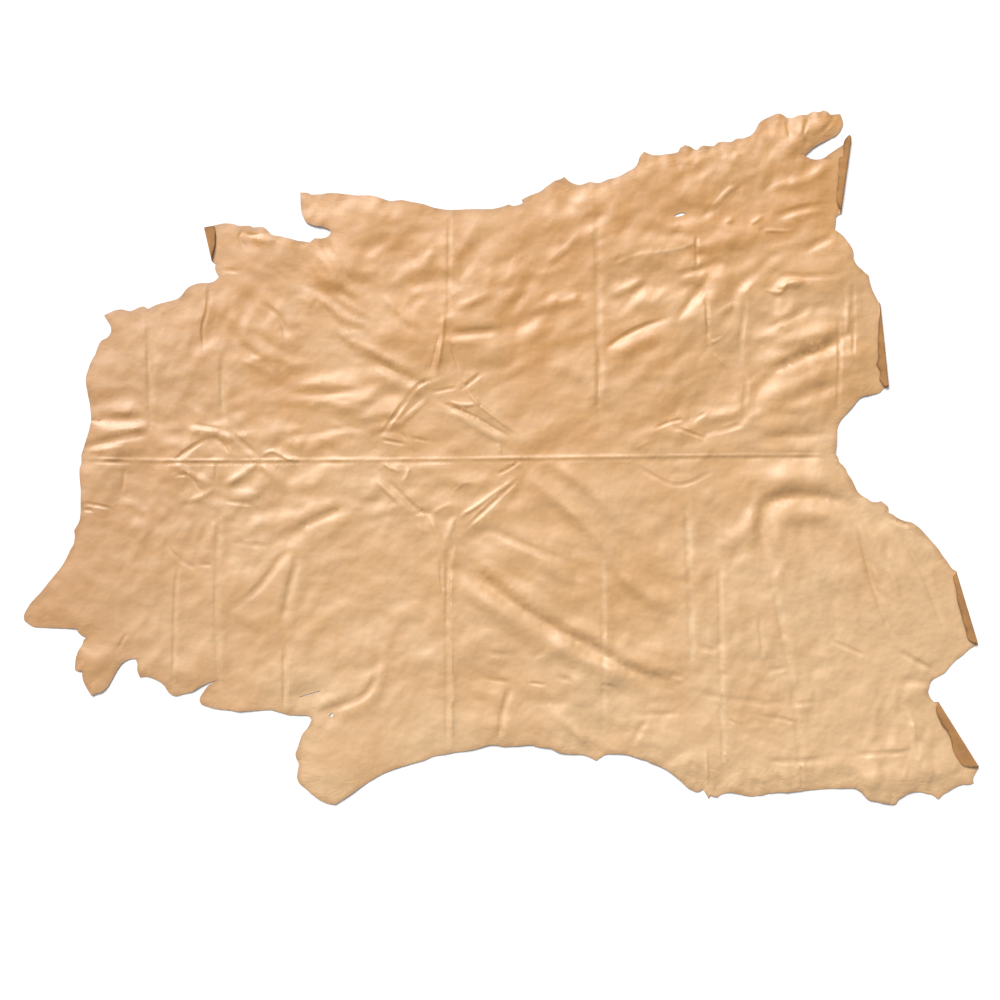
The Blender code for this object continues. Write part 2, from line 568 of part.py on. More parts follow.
def lay_folds(layout, outline, holes, rolls):
    # A line of points along each fold and one on either side of it, clear of edges and of each other.
    fixed = np.vstack([outline] + holes)
    tree = tree_of(fixed)
    laid = []
    for fold in FOLDS:
        points, runs = walk_line(metres(fold.turns), FOLD_STEP)
        across = np.column_stack([-runs[:, 1], runs[:, 0]])
        for side in (0.0, -1.0, 1.0):
            shifted = points + across * side * fold.half_width * FOLD_SIDE_LINE * MM
            inside = inside_polygon(shifted, outline)
            kept = []
            for point, within in zip(shifted, inside):
                clear = within and nearest_gap(tree, point) > FOLD_CLEAR_OF_EDGE * EDGE_STEP
                gaps = (np.hypot(*(point - other)) for other in laid)
                clear = clear and all(gap > FOLD_CLEAR_OF_FOLD * GRID_STEP for gap in gaps)
                kept.append(clear and clear_of_rolls(point, rolls))
            layout.add_chain(shifted, kept)
            laid.extend(point for point, keep in zip(shifted, kept) if keep)


def clear_of_rolls(point, rolls):
    # True for a point that no turned-over edge carries away, nor nearly.
    for roll in rolls.values():
        offset = point - roll["origin"]
        along = offset @ roll["along"]
        past = offset @ roll["outward"]
        beside = -EDGE_STEP < along < roll["length"] + EDGE_STEP
        if beside and -CLEAR_OF_ROLL <= past < FURTHEST_ROLL:
            return False
    return True


def lay_filling(layout, outline, holes, rolls):
    # Even rows of points over the rest of the sheet, each row shifted by half a step.
    edge_tree = tree_of(np.vstack([outline] + holes))
    laid_tree = tree_of(np.array(layout.points))
    low, high = outline.min(axis=0), outline.max(axis=0)
    row_step = GRID_STEP * math.sqrt(3) / 2
    rows = int((high[1] - low[1]) / row_step) + 1
    columns = int((high[0] - low[0]) / GRID_STEP) + 2
    for row in range(rows):
        shift = 0.5 * GRID_STEP * (row % 2)
        across = low[1] + (row + 0.5) * row_step
        line = np.array([(low[0] + shift + column * GRID_STEP, across) for column in range(columns)])
        for point in line[inside_polygon(line, outline)]:
            clear = nearest_gap(edge_tree, point) > CLEAR_OF_EDGE * GRID_STEP
            clear = clear and nearest_gap(laid_tree, point) > CLEAR_OF_FOLD * GRID_STEP
            if clear and clear_of_rolls(point, rolls):
                layout.add_point(point)


def fill_sheet(layout, outline, holes):
    # Triangles between all the points, without those outside the cut edge or in a hole.
    vertices, _, triangles, _, _, _ = delaunay_2d_cdt(
        [Vector(point) for point in layout.points], layout.lines, [], 0, JOIN_DISTANCE
    )
    points = np.array([tuple(vertex) for vertex in vertices])
    triangles = np.array(triangles)
    middles = points[triangles].mean(axis=1)
    kept = inside_polygon(middles, outline)
    for hole in holes:
        kept &= ~inside_polygon(middles, hole)
    triangles = triangles[kept]
    used, renumbered = np.unique(triangles, return_inverse=True)
    return points[used], renumbered.reshape(triangles.shape)


def upward(points, triangles):
    # All triangles anticlockwise seen from above on the flat sheet.
    a, b, c = (points[triangles[:, corner]] for corner in range(3))
    turn = (b[:, 0] - a[:, 0]) * (c[:, 1] - a[:, 1]) - (b[:, 1] - a[:, 1]) * (c[:, 0] - a[:, 0])
    flipped = triangles[:, ::-1]
    return np.where((turn < 0)[:, None], flipped, triangles)


def leather_material():
    material = bpy.data.materials.new("tan leather")
    material.use_nodes = True
    shader = material.node_tree.nodes["Principled BSDF"]
    shader.inputs["Base Color"].default_value = LEATHER["colour"]
    shader.inputs["Roughness"].default_value = LEATHER["roughness"]
    shader.inputs["Metallic"].default_value = LEATHER["metallic"]
    return material


def build_hide():
    rolls = build_rolls()
    places, corners = cut_edge_points(rolls)
    outline = smooth_closed_edge(places, corners, EDGE_STEP)
    holes = [hole_outline(hole) for hole in HOLES]
    layout = Layout()
    layout.add_loop(outline)
    for hole in holes:
        layout.add_loop(hole)
    lay_rolls(layout, rolls)
    lay_folds(layout, outline, holes, rolls)
    lay_filling(layout, outline, holes, rolls)
    points, triangles = fill_sheet(layout, outline, holes)
    triangles = upward(points, triangles)
    placed = roll_places(points, sheet_height(points, rolls), rolls)
    middle = (placed.min(axis=0) + placed.max(axis=0)) / 2
    placed[:, :2] -= middle[:2]

    mesh = bpy.data.meshes.new("hide")
    mesh.from_pydata(placed.tolist(), [], triangles.tolist())
    mesh.shade_smooth()
    mesh.materials.append(leather_material())
    hide = bpy.data.objects.new("hide", mesh)
    bpy.context.scene.collection.objects.link(hide)
    solidify = hide.modifiers.new("leather thickness", "SOLIDIFY")
    solidify.thickness = THICKNESS
    solidify.offset = 1.0
    return hide


def main():
    clear_scene()
    build_hide()


main()
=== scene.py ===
import math

import bmesh
import bpy
import numpy as np
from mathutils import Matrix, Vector, noise
from mathutils.bvhtree import BVHTree
from mathutils.geometry import delaunay_2d_cdt
from mathutils.kdtree import KDTree


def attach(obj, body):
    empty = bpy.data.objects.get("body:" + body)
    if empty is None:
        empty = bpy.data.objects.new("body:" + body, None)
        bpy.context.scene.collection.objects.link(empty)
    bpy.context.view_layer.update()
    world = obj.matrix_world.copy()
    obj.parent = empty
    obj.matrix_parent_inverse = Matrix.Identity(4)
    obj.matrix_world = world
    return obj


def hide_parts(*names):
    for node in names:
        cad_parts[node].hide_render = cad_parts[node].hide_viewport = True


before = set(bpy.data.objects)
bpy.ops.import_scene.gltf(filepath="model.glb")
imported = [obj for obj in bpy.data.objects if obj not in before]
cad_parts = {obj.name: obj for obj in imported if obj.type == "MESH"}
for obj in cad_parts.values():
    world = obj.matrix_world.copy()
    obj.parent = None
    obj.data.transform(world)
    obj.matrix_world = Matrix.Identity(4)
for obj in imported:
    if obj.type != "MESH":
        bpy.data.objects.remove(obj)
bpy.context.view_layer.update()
mm = 0.001
print("stage: frame loaded")

# Places are in millimetres from the middle of the cutting table: along the backbone towards the
# tail, then across it. The hide's own frame starts at the middle of its box, a little off that.
hideSheet = {
    "tableMiddle": (-3.05 * mm, -6.0 * mm),
    "thickness": 1.5 * mm,
    "foldRadius": 5.0 * mm,      # outer radius of a turned-over edge
    "flapDrop": 6.1 * mm,        # how far the free edge of a turned strip can sink
    "flapLean": 0.8,
    "rollMargin": 10.0 * mm,
    "flatNearRoll": 16.0 * mm,   # no creases this near a turned-over edge
    "fullFromRoll": 60.0 * mm,
    "rollStep": 2.0 * mm,        # rows of points round a turned-over edge
    "edgeStep": 6.0 * mm,
    "fineStep": 7.0 * mm,        # between points where the edge is ruffled
    "fillStep": 9.9 * mm,
    "leastGap": 2.6 * mm,
    "edgeRest": 45.0 * mm,       # how far in from the cut edge the sheet settles down, and to what share
    "edgeShare": 0.55,
    "flatByHole": 30.0 * mm,     # the sheet lies down round its holes
    "lift": 2.8 * mm,            # what the sheet stands off the floor before its hollows touch down
    "unevenDepth": 0.45,         # how much a crease's depth changes along it
    "creaseGain": 1.5,           # how much stronger creases, ripples and edge waves are than listed
    "rippleGain": 1.75,
    "rippleCalm": 0.7,           # how much they die down beside a crease this high
    "rippleCalmBy": 2.5 * mm,
    "waveGain": 1.2,
    "cornerTurn": 38.0,          # the edge keeps a corner that turns by more degrees than this
    "nibble": 0.5 * mm,          # unevenness of the cut edge
    "nibbleRate": 70,            # and how fast it changes, in waves a metre
    "edgeClear": 3.0 * mm,       # no crease point this near the cut edge
    "rollClear": 1.6 * mm,       # nor a roll's point this near the edge or another
    "rowRise": 0.866,            # share of a step between rows of points
    "fillClear": 0.62,           # share of a step kept free round a point
    "fadeShare": 0.3,            # a crease fades out over this share of it, and at most so long
    "fadeLength": 80 * mm,
    "unevenLength": 55 * mm,
    "noiseUnit": 0.62,           # share of a wave that one unit of noise stands for
    "floorSoft": 0.8 * mm,       # how gently a hollow touches down
    "floorSink": 0.15 * mm,
    "flatSize": (2.406, 1.734),
    "flatArea": 2.865,
}

# The turned-over edges: where the fold starts and ends, and the widest reach of the strip
turnedEdges = [
    {"name": "upper fore shank", "start": (-720, 497), "end": (-739, 579), "widest": 26},
    {"name": "upper hind shank", "start": (879, 810), "end": (852, 617), "widest": 25},
    {"name": "upper butt", "start": (950, 390), "end": (971, 186), "widest": 27},
    {"name": "lower butt", "start": (1142, -287), "end": (1194, -460), "widest": 21},
    {"name": "lower hind shank", "start": (1097, -607), "end": (1197, -767), "widest": 36},
]

# Creases: height of the line (below nothing for a groove), height of the soft banks beside it,
# half width of the line, its turns, and how pale it is painted along it, if at all: a painted
# highlight on the crease line, partly finish rubbed off there.
creaseColumns = ("rise", "bank", "half", "turns", "worn")
creases = [
    # the backbone: its sharp line, the sunk strip it lies in and the hem beside it
    (1.1, 0, 3.5, [(-1046, 4), (-820, -1), (-500, 0), (-122, 3), (250, 8), (597, 12), (839, 13)], 0.24),
    (-1.5, 0, 12, [(-1020, 3), (-820, -2), (-500, -1), (-122, 2), (250, 7), (597, 11), (820, 12)]),
    (-0.9, 0, 4, [(-1040, -4), (-820, -9), (-500, -7), (-122, -5), (250, 0), (597, 4), (830, 5)]),
    # where it was folded up, from the neck to the butt
    (-2.9, 1.7, 6.5, [(-877, 375), (-876, 260), (-874, 150), (-873, 75)], 0.3),
    (-2.4, 0.6, 3, [(-876, 152), (-873, 76)]),
    (-1.6, 0.6, 4, [(-937, -8), (-942, -87)]),
    (-2.6, 1.4, 5, [(-797, -250), (-810, -325), (-815, -575)], 0.24),
    (-3.2, 1.8, 6.5, [(-692, 275), (-693, 180), (-690, 82)], 0.3),
    (-2.3, 1.4, 6.5, [(-700, -88), (-706, -260), (-708, -420), (-700, -600)], 0.36),
    (-3.8, 1.8, 4, [(-728, 437), (-731, 375), (-742, 332), (-740, 275)]),
    (-4.8, 2.7, 8, [(-500, -225), (-522, -310), (-545, -420)], 0.36),
    (-4.8, 2.4, 6, [(-536, -450), (-537, -540), (-536, -632)], 0.24),
    (-1.8, 1.1, 5.2, [(-126, 637), (-127, 480), (-128, 330)], 0.24),
    (-2.4, 1.5, 6, [(-130, -212), (-131, -350), (-131, -530), (-131, -735)], 0.24),
    (-2.4, 1, 4, [(-150, -250), (-143, -350)]),
    (-4.2, 2.2, 7, [(27, -562), (5, -640), (0, -705)], 0.3),
    (-1.6, 1.4, 7.2, [(238, 625), (244, 480), (246, 300), (250, 110)], 0.36),
    (-1.7, 1.2, 6, [(255, -200), (257, -400), (258, -560), (258, -725)], 0.42),
    (1.3, 0.4, 8, [(408, 235), (407, 160), (406, 100)], 0.24),
    (-2.1, 1.5, 7.2, [(466, -88), (470, -250), (475, -400), (482, -550)], 0.54),
    (-2.2, 1.4, 6, [(547, -225), (550, -400), (552, -560), (558, -730), (562, -800)], 0.3),
    (-2.4, 1.1, 5, [(645, -388), (652, -450), (656, -500)]),
    (-2.1, 1.4, 7.2, [(670, -250), (700, -400), (730, -560), (745, -700), (752, -800)], 0.36),
    (-2.4, 1, 4, [(490, 570), (491, 475)]),
    (-2.1, 1, 5, [(512, 425), (524, 275)]),
    (-2.4, 1.2, 6, [(611, 437), (610, 367), (602, 310), (602, 227), (615, 185), (608, 122), (619, 90)],
     0.3),
    (-2.4, 1.1, 5, [(845, 375), (846, 250), (842, 100)], 0.24),
    (1.8, 0, 5, [(867, 450), (868, 375), (866, 300)]),
    (-2.1, 0.8, 4, [(881, 460), (884, 330), (878, 250)]),
    # neck
    (-5.9, 3.3, 11.7, [(-1030, 104), (-950, 98), (-878, 106)]),
    (-3.9, 2.2, 9.1, [(-1040, 34), (-960, 50), (-868, 72)]),
    (1.2, 0, 5, [(-1037, 20), (-985, 26), (-925, 32)]),
    (-1.6, 0.9, 6, [(-612, 400), (-550, 355), (-530, 275)]),
    (1.6, 0.4, 7, [(-650, 232), (-575, 255), (-555, 175)]),
    (-2, 1, 5, [(-837, -200), (-805, -245), (-750, -275)]),
    (-1.1, 0.4, 4, [(-762, -262), (-712, -262)]),
    (-1.5, 0.6, 4, [(-955, -475), (-932, -430)]),
    # small star of folds on the neck
    (-3, 1, 6, [(-686, 78), (-656, 53), (-620, 22), (-600, 5)], 0.3),
    (3.2, 0, 9, [(-604, -2), (-570, -35), (-530, -75)]),
    (2.6, 0.3, 6, [(-822, -6), (-761, -40), (-712, -64)]),
    (3.2, 0.3, 7, [(-695, -68), (-646, -38), (-597, -2)], 0.24),
    (-2.2, 0.8, 5, [(-775, 90), (-695, 75)]),
    (-2.2, 1, 5, [(-695, -102), (-605, -112)]),
    (2.2, 0.3, 6, [(-790, -108), (-740, -90), (-710, -68)]),
    (2.8, 0, 10, [(-697, -84), (-640, -86), (-595, -94)]),
    # shoulder
    (-4.2, 2.2, 9, [(-540, 157), (-450, 168), (-345, 172)]),
    (-2.8, 1.4, 8, [(-505, 67), (-420, 74), (-325, 86)]),
    (-1.7, 0.8, 8, [(-500, 300), (-440, 302), (-370, 290)]),
    (-5, 2.7, 10, [(-520, -190), (-480, -160), (-430, -137), (-368, -118)]),
    (-3.6, 1.8, 8, [(-522, -205), (-575, -287), (-637, -350), (-690, -380)]),
    (-1.6, 0.8, 6, [(-650, -212), (-575, -212)]),
    (-4.4, 3.1, 12, [(-465, 600), (-440, 545), (-410, 490), (-365, 430)]),
    (3, 0.4, 11, [(-292, 418), (-262, 380), (-225, 350), (-190, 320)]),
    (2.4, 0.3, 10, [(-205, 470), (-180, 500), (-160, 530)]),
    (2, 0.5, 8, [(-405, 312), (-325, 275), (-250, 237)]),
    # inner folds of the small star, and the edge of the neck
    (-3, 0.9, 5, [(-814, -4), (-773, 28), (-725, 58)]),
    (-1.6, 0.6, 4, [(-714, 59), (-698, 46), (-673, 13)]),
    (3, 0.5, 4, [(-598, 5), (-569, 22), (-532, 5), (-490, -3)], 0.36),
    (-3, 1.1, 4, [(-814, -40), (-776, -38), (-756, -65), (-739, -82)]),
    (-1.4, 0.5, 4, [(-708, -8), (-708, -49)]),
    (2.4, 0, 11, [(-705, 55), (-688, 60), (-668, 48)]),
    (3, 0, 14, [(-545, 36), (-515, 42), (-485, 34)]),
    (2.4, 0, 11, [(-690, 62), (-740, 72), (-790, 66)]),
    (2, 0, 10, [(-684, 62), (-640, 60), (-600, 66)]),
    (-2.6, 1, 4, [(-1024, 102), (-996, 92)]),
    (-2.2, 1, 4, [(-1040, -107), (-996, -115), (-967, -123)]),
    (-2.2, 0.8, 4, [(-1040, -124), (-1015, -126)]),
    (2.2, 0.6, 8, [(-955, -107), (-917, -111), (-884, -144)], 0.24),
    # the knot by the upper fore shank
    (-3.6, 1.6, 4, [(-638, 568), (-620, 561), (-597, 562)]),
    (-3.2, 1.4, 4, [(-640, 572), (-649, 563), (-649, 552), (-639, 531)]),
    (2.4, 0.5, 8, [(-624, 554), (-590, 549), (-555, 540)]),
    (-3, 1.4, 5, [(-704, 478), (-680, 474), (-650, 470)]),
    # large star of folds in the middle
    (-4, 2.5, 11.5, [(-335, 250), (-250, 214), (-185, 180)]),
    (2.2, 0, 6, [(-170, 160), (-196, 140), (-232, 107), (-268, 72)], 0.24),
    (2.6, 0.2, 4, [(-90, 185), (-56, 142), (-4, 100), (56, 56)], 0.24),
    (3.4, 0, 8, [(-165, 128), (-137, 121), (-99, 108), (-56, 82), (-13, 59), (56, 27)], 0.3),
    (-2.2, 0.5, 4, [(-168, 150), (-125, 134), (-56, 104), (-13, 78), (36, 54)]),
    (2.1, 0.4, 4, [(-131, 149), (-102, 138), (-67, 137), (-50, 141)]),
    (-2.9, 0.9, 5, [(-146, 204), (-180, 198), (-211, 179), (-248, 130), (-298, 60)]),
    (-1.8, 0.8, 4, [(-174, 167), (-139, 175), (-102, 181)]),
    (-3.7, 0.8, 6, [(-300, -34), (-288, -47), (-249, -85), (-206, -124), (-160, -133)], 0.24),
    (2, 0, 5, [(-312, -46), (-262, -97), (-216, -136)]),
    (-2.9, 1.4, 4.5, [(58, -36), (39, -54), (-13, -103), (-56, -143), (-99, -181)]),
    (1.8, 0.3, 4, [(39, -50), (1, -72), (-62, -118), (-93, -137), (-105, -160)], 0.3),
    (3, 0.6, 7, [(-178, -132), (-150, -200), (-125, -250)]),
    (3, 0.5, 6, [(-110, -135), (-137, -212)]),
    (2.6, 0.5, 5, [(-160, 205), (-146, 300), (-138, 385)]),
    (-2.1, 0.7, 4, [(-175, 215), (-145, 330)]),
    (-2.1, 0.7, 4, [(-100, 218), (-125, 300)]),
    (-3.4, 1.6, 5, [(-100, 174), (-72, 196), (-45, 216)]),
    (1.5, 0.3, 4, [(-245, 69), (-225, 52), (-214, 12)], 0.3),
    (2, 0.3, 4, [(-228, -14), (-231, -37), (-245, -57)], 0.42),
    (1.8, 0.4, 4, [(-7, 43), (4, 12)]),
    (-2, 0.8, 4, [(-225, 58), (-191, 49), (-159, 45), (-128, 45)]),
    (-2, 0.8, 4, [(-300, 52), (-257, 43), (-231, 39)]),
    (1.7, 0.4, 4, [(-294, -5), (-271, -22), (-245, -29)]),
    (0.9, 0.3, 3.6, [(-119, -83), (-93, -60), (-62, -55)]),
    (-2, 0.8, 4, [(56, 0), (16, -25), (-13, -37)]),
    (-2.6, 1, 4, [(-214, -134), (-194, -133), (-174, -135)]),
    (1.7, 0.5, 4.5, [(-174, -138), (-139, -117), (-116, -111)]),
    (1.3, 0.4, 3.6, [(-202, -163), (-191, -186)]),
    (-4.6, 2.4, 9, [(-132, 310), (-65, 317), (8, 322)]),
    (1.8, 0.5, 8, [(-125, 372), (-60, 398), (5, 428)]),
    (1.6, 0.3, 4, [(-122, -260), (-123, -350), (-121, -530), (-120, -730)], 0.42),
    (1.6, 0.3, 4, [(-110, -206), (-119, -273)]),
    # the diagonals below the middle
    (-3.7, 0, 11.7, [(-90, -262), (-30, -312), (37, -360), (117, -412), (228, -472), (340, -530),
     (436, -556)]),
    (4.1, 0, 18, [(-75, -232), (50, -337), (130, -389), (241, -449), (353, -509), (455, -534)]),
    (4.7, 0, 23, [(-128, -280), (-84, -318), (20, -390), (100, -442), (211, -501), (340, -560)]),
    (-1.6, 0.9, 7, [(415, -550), (500, -582), (625, -603), (750, -612)]),
    (-3.6, 2, 9, [(-45, -160), (62, -214), (185, -262)]),
    (4.3, 0, 18, [(50, -38), (75, -52), (138, -96), (200, -150), (254, -210), (294, -275), (360, -334),
     (440, -384)]),
    (2.7, 0, 18, [(100, 5), (178, -41), (245, -97), (308, -160), (355, -225)]),
    (2.8, 0.7, 9, [(112, -625), (187, -675), (225, -725)]),
    (-2.6, 1.4, 7, [(325, -715), (345, -680), (364, -645)]),
    # right star of folds, above the backbone
    (-2.6, 1.1, 4, [(383, 77), (436, 98), (470, 98)]),
    (-3, 1.3, 4, [(436, 82), (482, 65), (515, 53)]),
    (-2.2, 1, 4, [(482, 98), (515, 119)]),
    (-3.4, 1.5, 6, [(515, 65), (565, 76), (615, 94)]),
    (1.2, 0.3, 4, [(332, 24), (374, 48)]),
    (1.4, 0.3, 4, [(532, 268), (565, 231)]),
    (-1.6, 0.8, 5, [(325, -5), (440, -62), (550, -20)]),
    # loin, hip and rump
    (-3.8, 0.8, 6, [(255, 268), (285, 292), (343, 326), (424, 354)]),
    (3.8, 0, 20, [(268, 235), (300, 268), (360, 300), (440, 326)]),
    (-2.2, 1.3, 7, [(252, 278), (246, 200), (245, 120)]),
    (1.6, 0.5, 8, [(262, 400), (320, 430), (378, 455)]),
    (1.6, 0.4, 8, [(100, 475), (175, 537), (212, 582)]),
    (1.4, 0.4, 8, [(140, 385), (208, 412)]),
    (-3, 1.2, 8, [(425, 340), (470, 385), (500, 425), (515, 460)]),
    (3.9, 0, 22, [(515, 380), (552, 425), (578, 480)]),
    (-3, 1.6, 8, [(418, 460), (500, 475), (558, 508)]),
    (4.8, 0, 18, [(668, 270), (695, 290), (790, 312), (862, 340)]),
    (-3.6, 0, 12, [(655, 205), (725, 245), (800, 278), (880, 310)]),
    (4.6, 0, 24, [(655, 130), (680, 152), (752, 190), (838, 232)]),
    (-3.2, 1.6, 8, [(688, 336), (760, 372), (832, 392)]),
    (-2.6, 1.4, 7, [(675, 462), (760, 458), (852, 460)]),
    (-2.8, 1.4, 8, [(660, 62), (750, 60), (838, 62)]),
    (4.2, 0, 27, [(620, -48), (700, -48), (800, -47), (862, -58)]),
    (-4.4, 0, 11, [(668, -255), (655, -175), (662, -112), (712, -92), (800, -90), (886, -114)]),
    (3.7, 0, 19, [(700, -270), (692, -190), (712, -146), (790, -136), (872, -156)]),
    (2.2, 0, 14, [(625, -240), (622, -170), (640, -110)]),
    (2.6, 0.7, 8, [(677, 423), (714, 435), (768, 440)]),
    (1.6, 0.6, 5.4, [(609, 408), (618, 424), (629, 441)]),
    (1.7, 0.7, 7, [(530, 345), (556, 370), (590, 392)]),
    (1.2, 0.2, 4, [(561, 310), (519, 285)]),
    (-1.6, 0.6, 4, [(515, 400), (516, 330), (514, 267)]),
    (2.2, 0.5, 5, [(652, 430), (697, 417), (718, 442), (776, 446)]),
    (1.3, 0.5, 5.4, [(519, 610), (545, 645), (575, 675), (614, 694)], 0.36),
    (0.9, 0.2, 4, [(291, 502), (360, 514), (428, 522), (486, 540), (515, 543)], 0.3),
    (1.2, 0.5, 5.4, [(275, 480), (330, 505), (417, 520)]),
    (1.4, 0.6, 4.5, [(623, 589), (640, 597), (656, 610)]),
    (1.2, 0.5, 4.5, [(561, 589), (582, 601)]),
    (1.4, 0.3, 4, [(648, 572), (690, 572), (727, 570)]),
    (1.3, 0.5, 7.2, [(677, 676), (702, 686), (727, 693)]),
    # butt
    (-3.4, 1.7, 6, [(887, -147), (942, -350), (987, -445)]),
    (-3.4, 1.7, 6, [(982, -155), (1037, -250), (1087, -362), (1112, -437)]),
    (1.4, 0.4, 5, [(925, -175), (975, -275), (1012, -400)]),
    (1.4, 0.4, 6, [(850, -250), (875, -350), (912, -450)]),
    (-4.5, 1.6, 5, [(972, -142), (1022, -168)]),
    (-2.2, 1, 5, [(821, -450), (870, -470), (919, -493)]),
    # lower flank
    (-2.2, 0.9, 5, [(-38, -545), (-5, -551), (24, -554)]),
    (-1.8, 0.8, 4, [(73, -554), (113, -563)]),
    (-2.2, 0.9, 4, [(252, -559), (292, -567)]),
    (-2, 1, 7, [(-30, -479), (18, -491)]),
    (-2, 1, 7, [(80, -493), (120, -473)]),
    (-1.8, 0.8, 6, [(134, -540), (182, -551)]),
    (-2.6, 1.3, 9, [(77, -603), (128, -605), (180, -603)]),
    (-2.2, 1, 6, [(341, -635), (410, -634), (475, -630)]),
    (-2.4, 1, 6, [(423, -536), (466, -540)]),
    (-2.8, 1.2, 7, [(494, -465), (542, -478)]),
    (-2, 1, 6, [(664, -526), (718, -520)]),
    (-2, 1, 6, [(729, -612), (795, -602)]),
    (-2.2, 1, 5, [(653, -640), (718, -650), (751, -667)]),
    (-1.8, 0.8, 4, [(567, -645), (594, -661)]),
    (2, 0.4, 4, [(545, -548), (552, -610), (559, -683)], 0.48),
    # hems and pleats of the lower flank
    (-2.8, 1.3, 7, [(648, -748), (730, -753), (838, -745)]),
    (-2.8, 1.3, 6, [(881, -737), (952, -732), (1027, -729)]),
    (-2.4, 1.1, 6, [(469, -753), (507, -775)]),
    (2.2, 0.5, 4, [(513, -710), (516, -765), (518, -812)]),
    (1.8, 0.4, 4, [(561, -726), (561, -765)]),
    (-3.4, 1.6, 4, [(751, -753), (753, -790), (754, -822)]),
    (2.4, 0.6, 7, [(675, -764), (706, -790), (729, -820)]),
    (3.2, 0.8, 9, [(908, -775), (919, -825)]),
    (-3, 1.4, 6, [(946, -754), (968, -805), (988, -850)]),
    (2.2, 0.5, 6, [(1017, -580), (1028, -660), (1038, -732), (1071, -825)], 0.3),
    (-3, 1, 4, [(505, -812), (518, -838)]),
    (-2.4, 1, 6, [(1120, -786), (1180, -771)]),
    # hind shanks
    (-5, 2.6, 8, [(680, 602), (750, 625), (838, 640)]),
    (2.8, 1, 9, [(700, 675), (787, 712), (835, 755)]),
    (-5, 2.5, 9, [(762, 525), (838, 562)]),
    (-3, 1.2, 5, [(715, 855), (725, 800)]),
    (-3.4, 1.4, 5, [(770, 855), (750, 800)]),
    (-3, 1.2, 5, [(837, 855), (787, 800)]),
    (2.2, 0.4, 4, [(754, 845), (754, 788)]),
    (-3.6, 1.7, 6, [(985, -470), (1035, -500), (1088, -531)]),
    (-5, 2.5, 8, [(1000, -548), (1040, -556), (1080, -558)]),
    (3, 0.8, 14, [(1075, -610), (1122, -680), (1140, -750)]),
    (2, 0.5, 7, [(1025, -650), (1050, -700)]),
    # fore shank
    (-4.6, 2.4, 8, [(-482, -645), (-412, -620), (-345, -592), (-315, -550), (-302, -470)]),
]

# Soft ripples: where they lie, how far they reach along and across the table, which way they run
# (degrees from the backbone), from crest to crest, how many times longer than wide, how high.
ripples = [
    ("neck, upper", (-750, 325), (330, 210), 78, 42, 2.7, 0.9),
    ("neck, side to side", (-930, 60), (180, 130), 4, 46, 4.1, 1.3),
    ("small star", (-675, 0), (260, 170), 0, 38, 1.4, 1.2),
    ("neck, lower", (-800, -300), (330, 260), 80, 42, 2.2, 1.0),
    ("shoulder, side to side", (-390, 130), (210, 150), 2, 48, 3.4, 1.4),
    ("shoulder, upper", (-430, 350), (280, 170), -33, 40, 3.5, 1.2),
    ("fore shank root, upper", (-270, 520), (240, 130), -58, 40, 2.4, 0.9),
    ("back, upper", (60, 480), (270, 190), 36, 44, 3.4, 1.1),
    ("back, near the middle", (90, 210), (250, 160), 18, 46, 2.7, 0.8),
    ("loin, upper", (350, 400), (260, 220), 34, 42, 4.1, 1.3),
    ("rump, upper", (590, 330), (200, 240), 52, 42, 3.2, 1.4),
    ("rump, outer", (780, 370), (180, 250), 12, 40, 3.2, 1.5),
    ("hip, by the backbone", (520, 90), (260, 130), 24, 40, 2.7, 1.3),
    ("flank, upper", (450, 660), (330, 130), 16, 28, 2.0, 0.8),
    ("flank, upper edge", (680, 770), (230, 110), 62, 28, 1.8, 1.2),
    ("middle, left below", (-390, -160), (250, 170), 20, 46, 3.0, 1.1),
    ("shoulder, lower", (-350, -460), (320, 230), 62, 50, 3.2, 1.0),
    ("belly", (60, -320), (330, 190), -33, 55, 4.1, 1.3),
    ("belly, lower", (150, -580), (330, 140), -14, 42, 3.0, 1.1),
    ("loin, lower", (380, -230), (260, 210), -46, 46, 3.2, 1.2),
    ("thigh", (600, -360), (240, 260), 86, 40, 3.2, 1.2),
    ("butt, inner", (830, -340), (230, 260), -76, 38, 3.2, 1.0),
    ("butt, outer", (1000, -280), (190, 200), -64, 32, 4.1, 1.2),
    ("flank, lower", (520, -620), (280, 160), -8, 32, 1.8, 1.0),
    ("hind shank, lower", (960, -640), (240, 190), 78, 36, 2.4, 1.2),
    ("everywhere", (0, 0), (2400, 2400), 30, 80, 1.6, 0.9),
    ("everywhere, broad", (0, 0), (2400, 2400), 160, 150, 1.6, 2.1),
]

# Waves of the cut edge: where, how far along it, crest to crest, how far in from it, how high
edgeWaves = [
    ("flank, upper", (600, 790), 330, 34, 55, 2.6),
    ("belly, upper", (250, 700), 250, 38, 40, 1.8),
    ("fingers of the hind shank", (780, 860), 120, 30, 60, 2.8),
    ("flank, lower", (650, -830), 330, 32, 75, 3.0),
    ("hind shank, lower", (1080, -830), 200, 34, 70, 3.0),
    ("belly, lower", (150, -720), 400, 60, 60, 1.8),
    ("fore shank, lower", (-450, -800), 250, 55, 50, 2.0),
    ("neck, lower", (-950, -450), 350, 45, 40, 2.0),
    ("neck, upper", (-850, 400), 400, 50, 40, 1.8),
    ("fore shank, upper", (-400, 640), 350, 50, 50, 1.8),
    ("butt", (1050, -250), 350, 45, 40, 1.8),
    ("tail", (850, 150), 300, 50, 40, 1.8),
]


def onTable(place):
    # A place listed in millimetres on the table, in the hide's own frame
    return np.array(place) * mm + hideSheet["tableMiddle"]


def gap2d(a, b):
    return math.hypot(a[0] - b[0], a[1] - b[1])


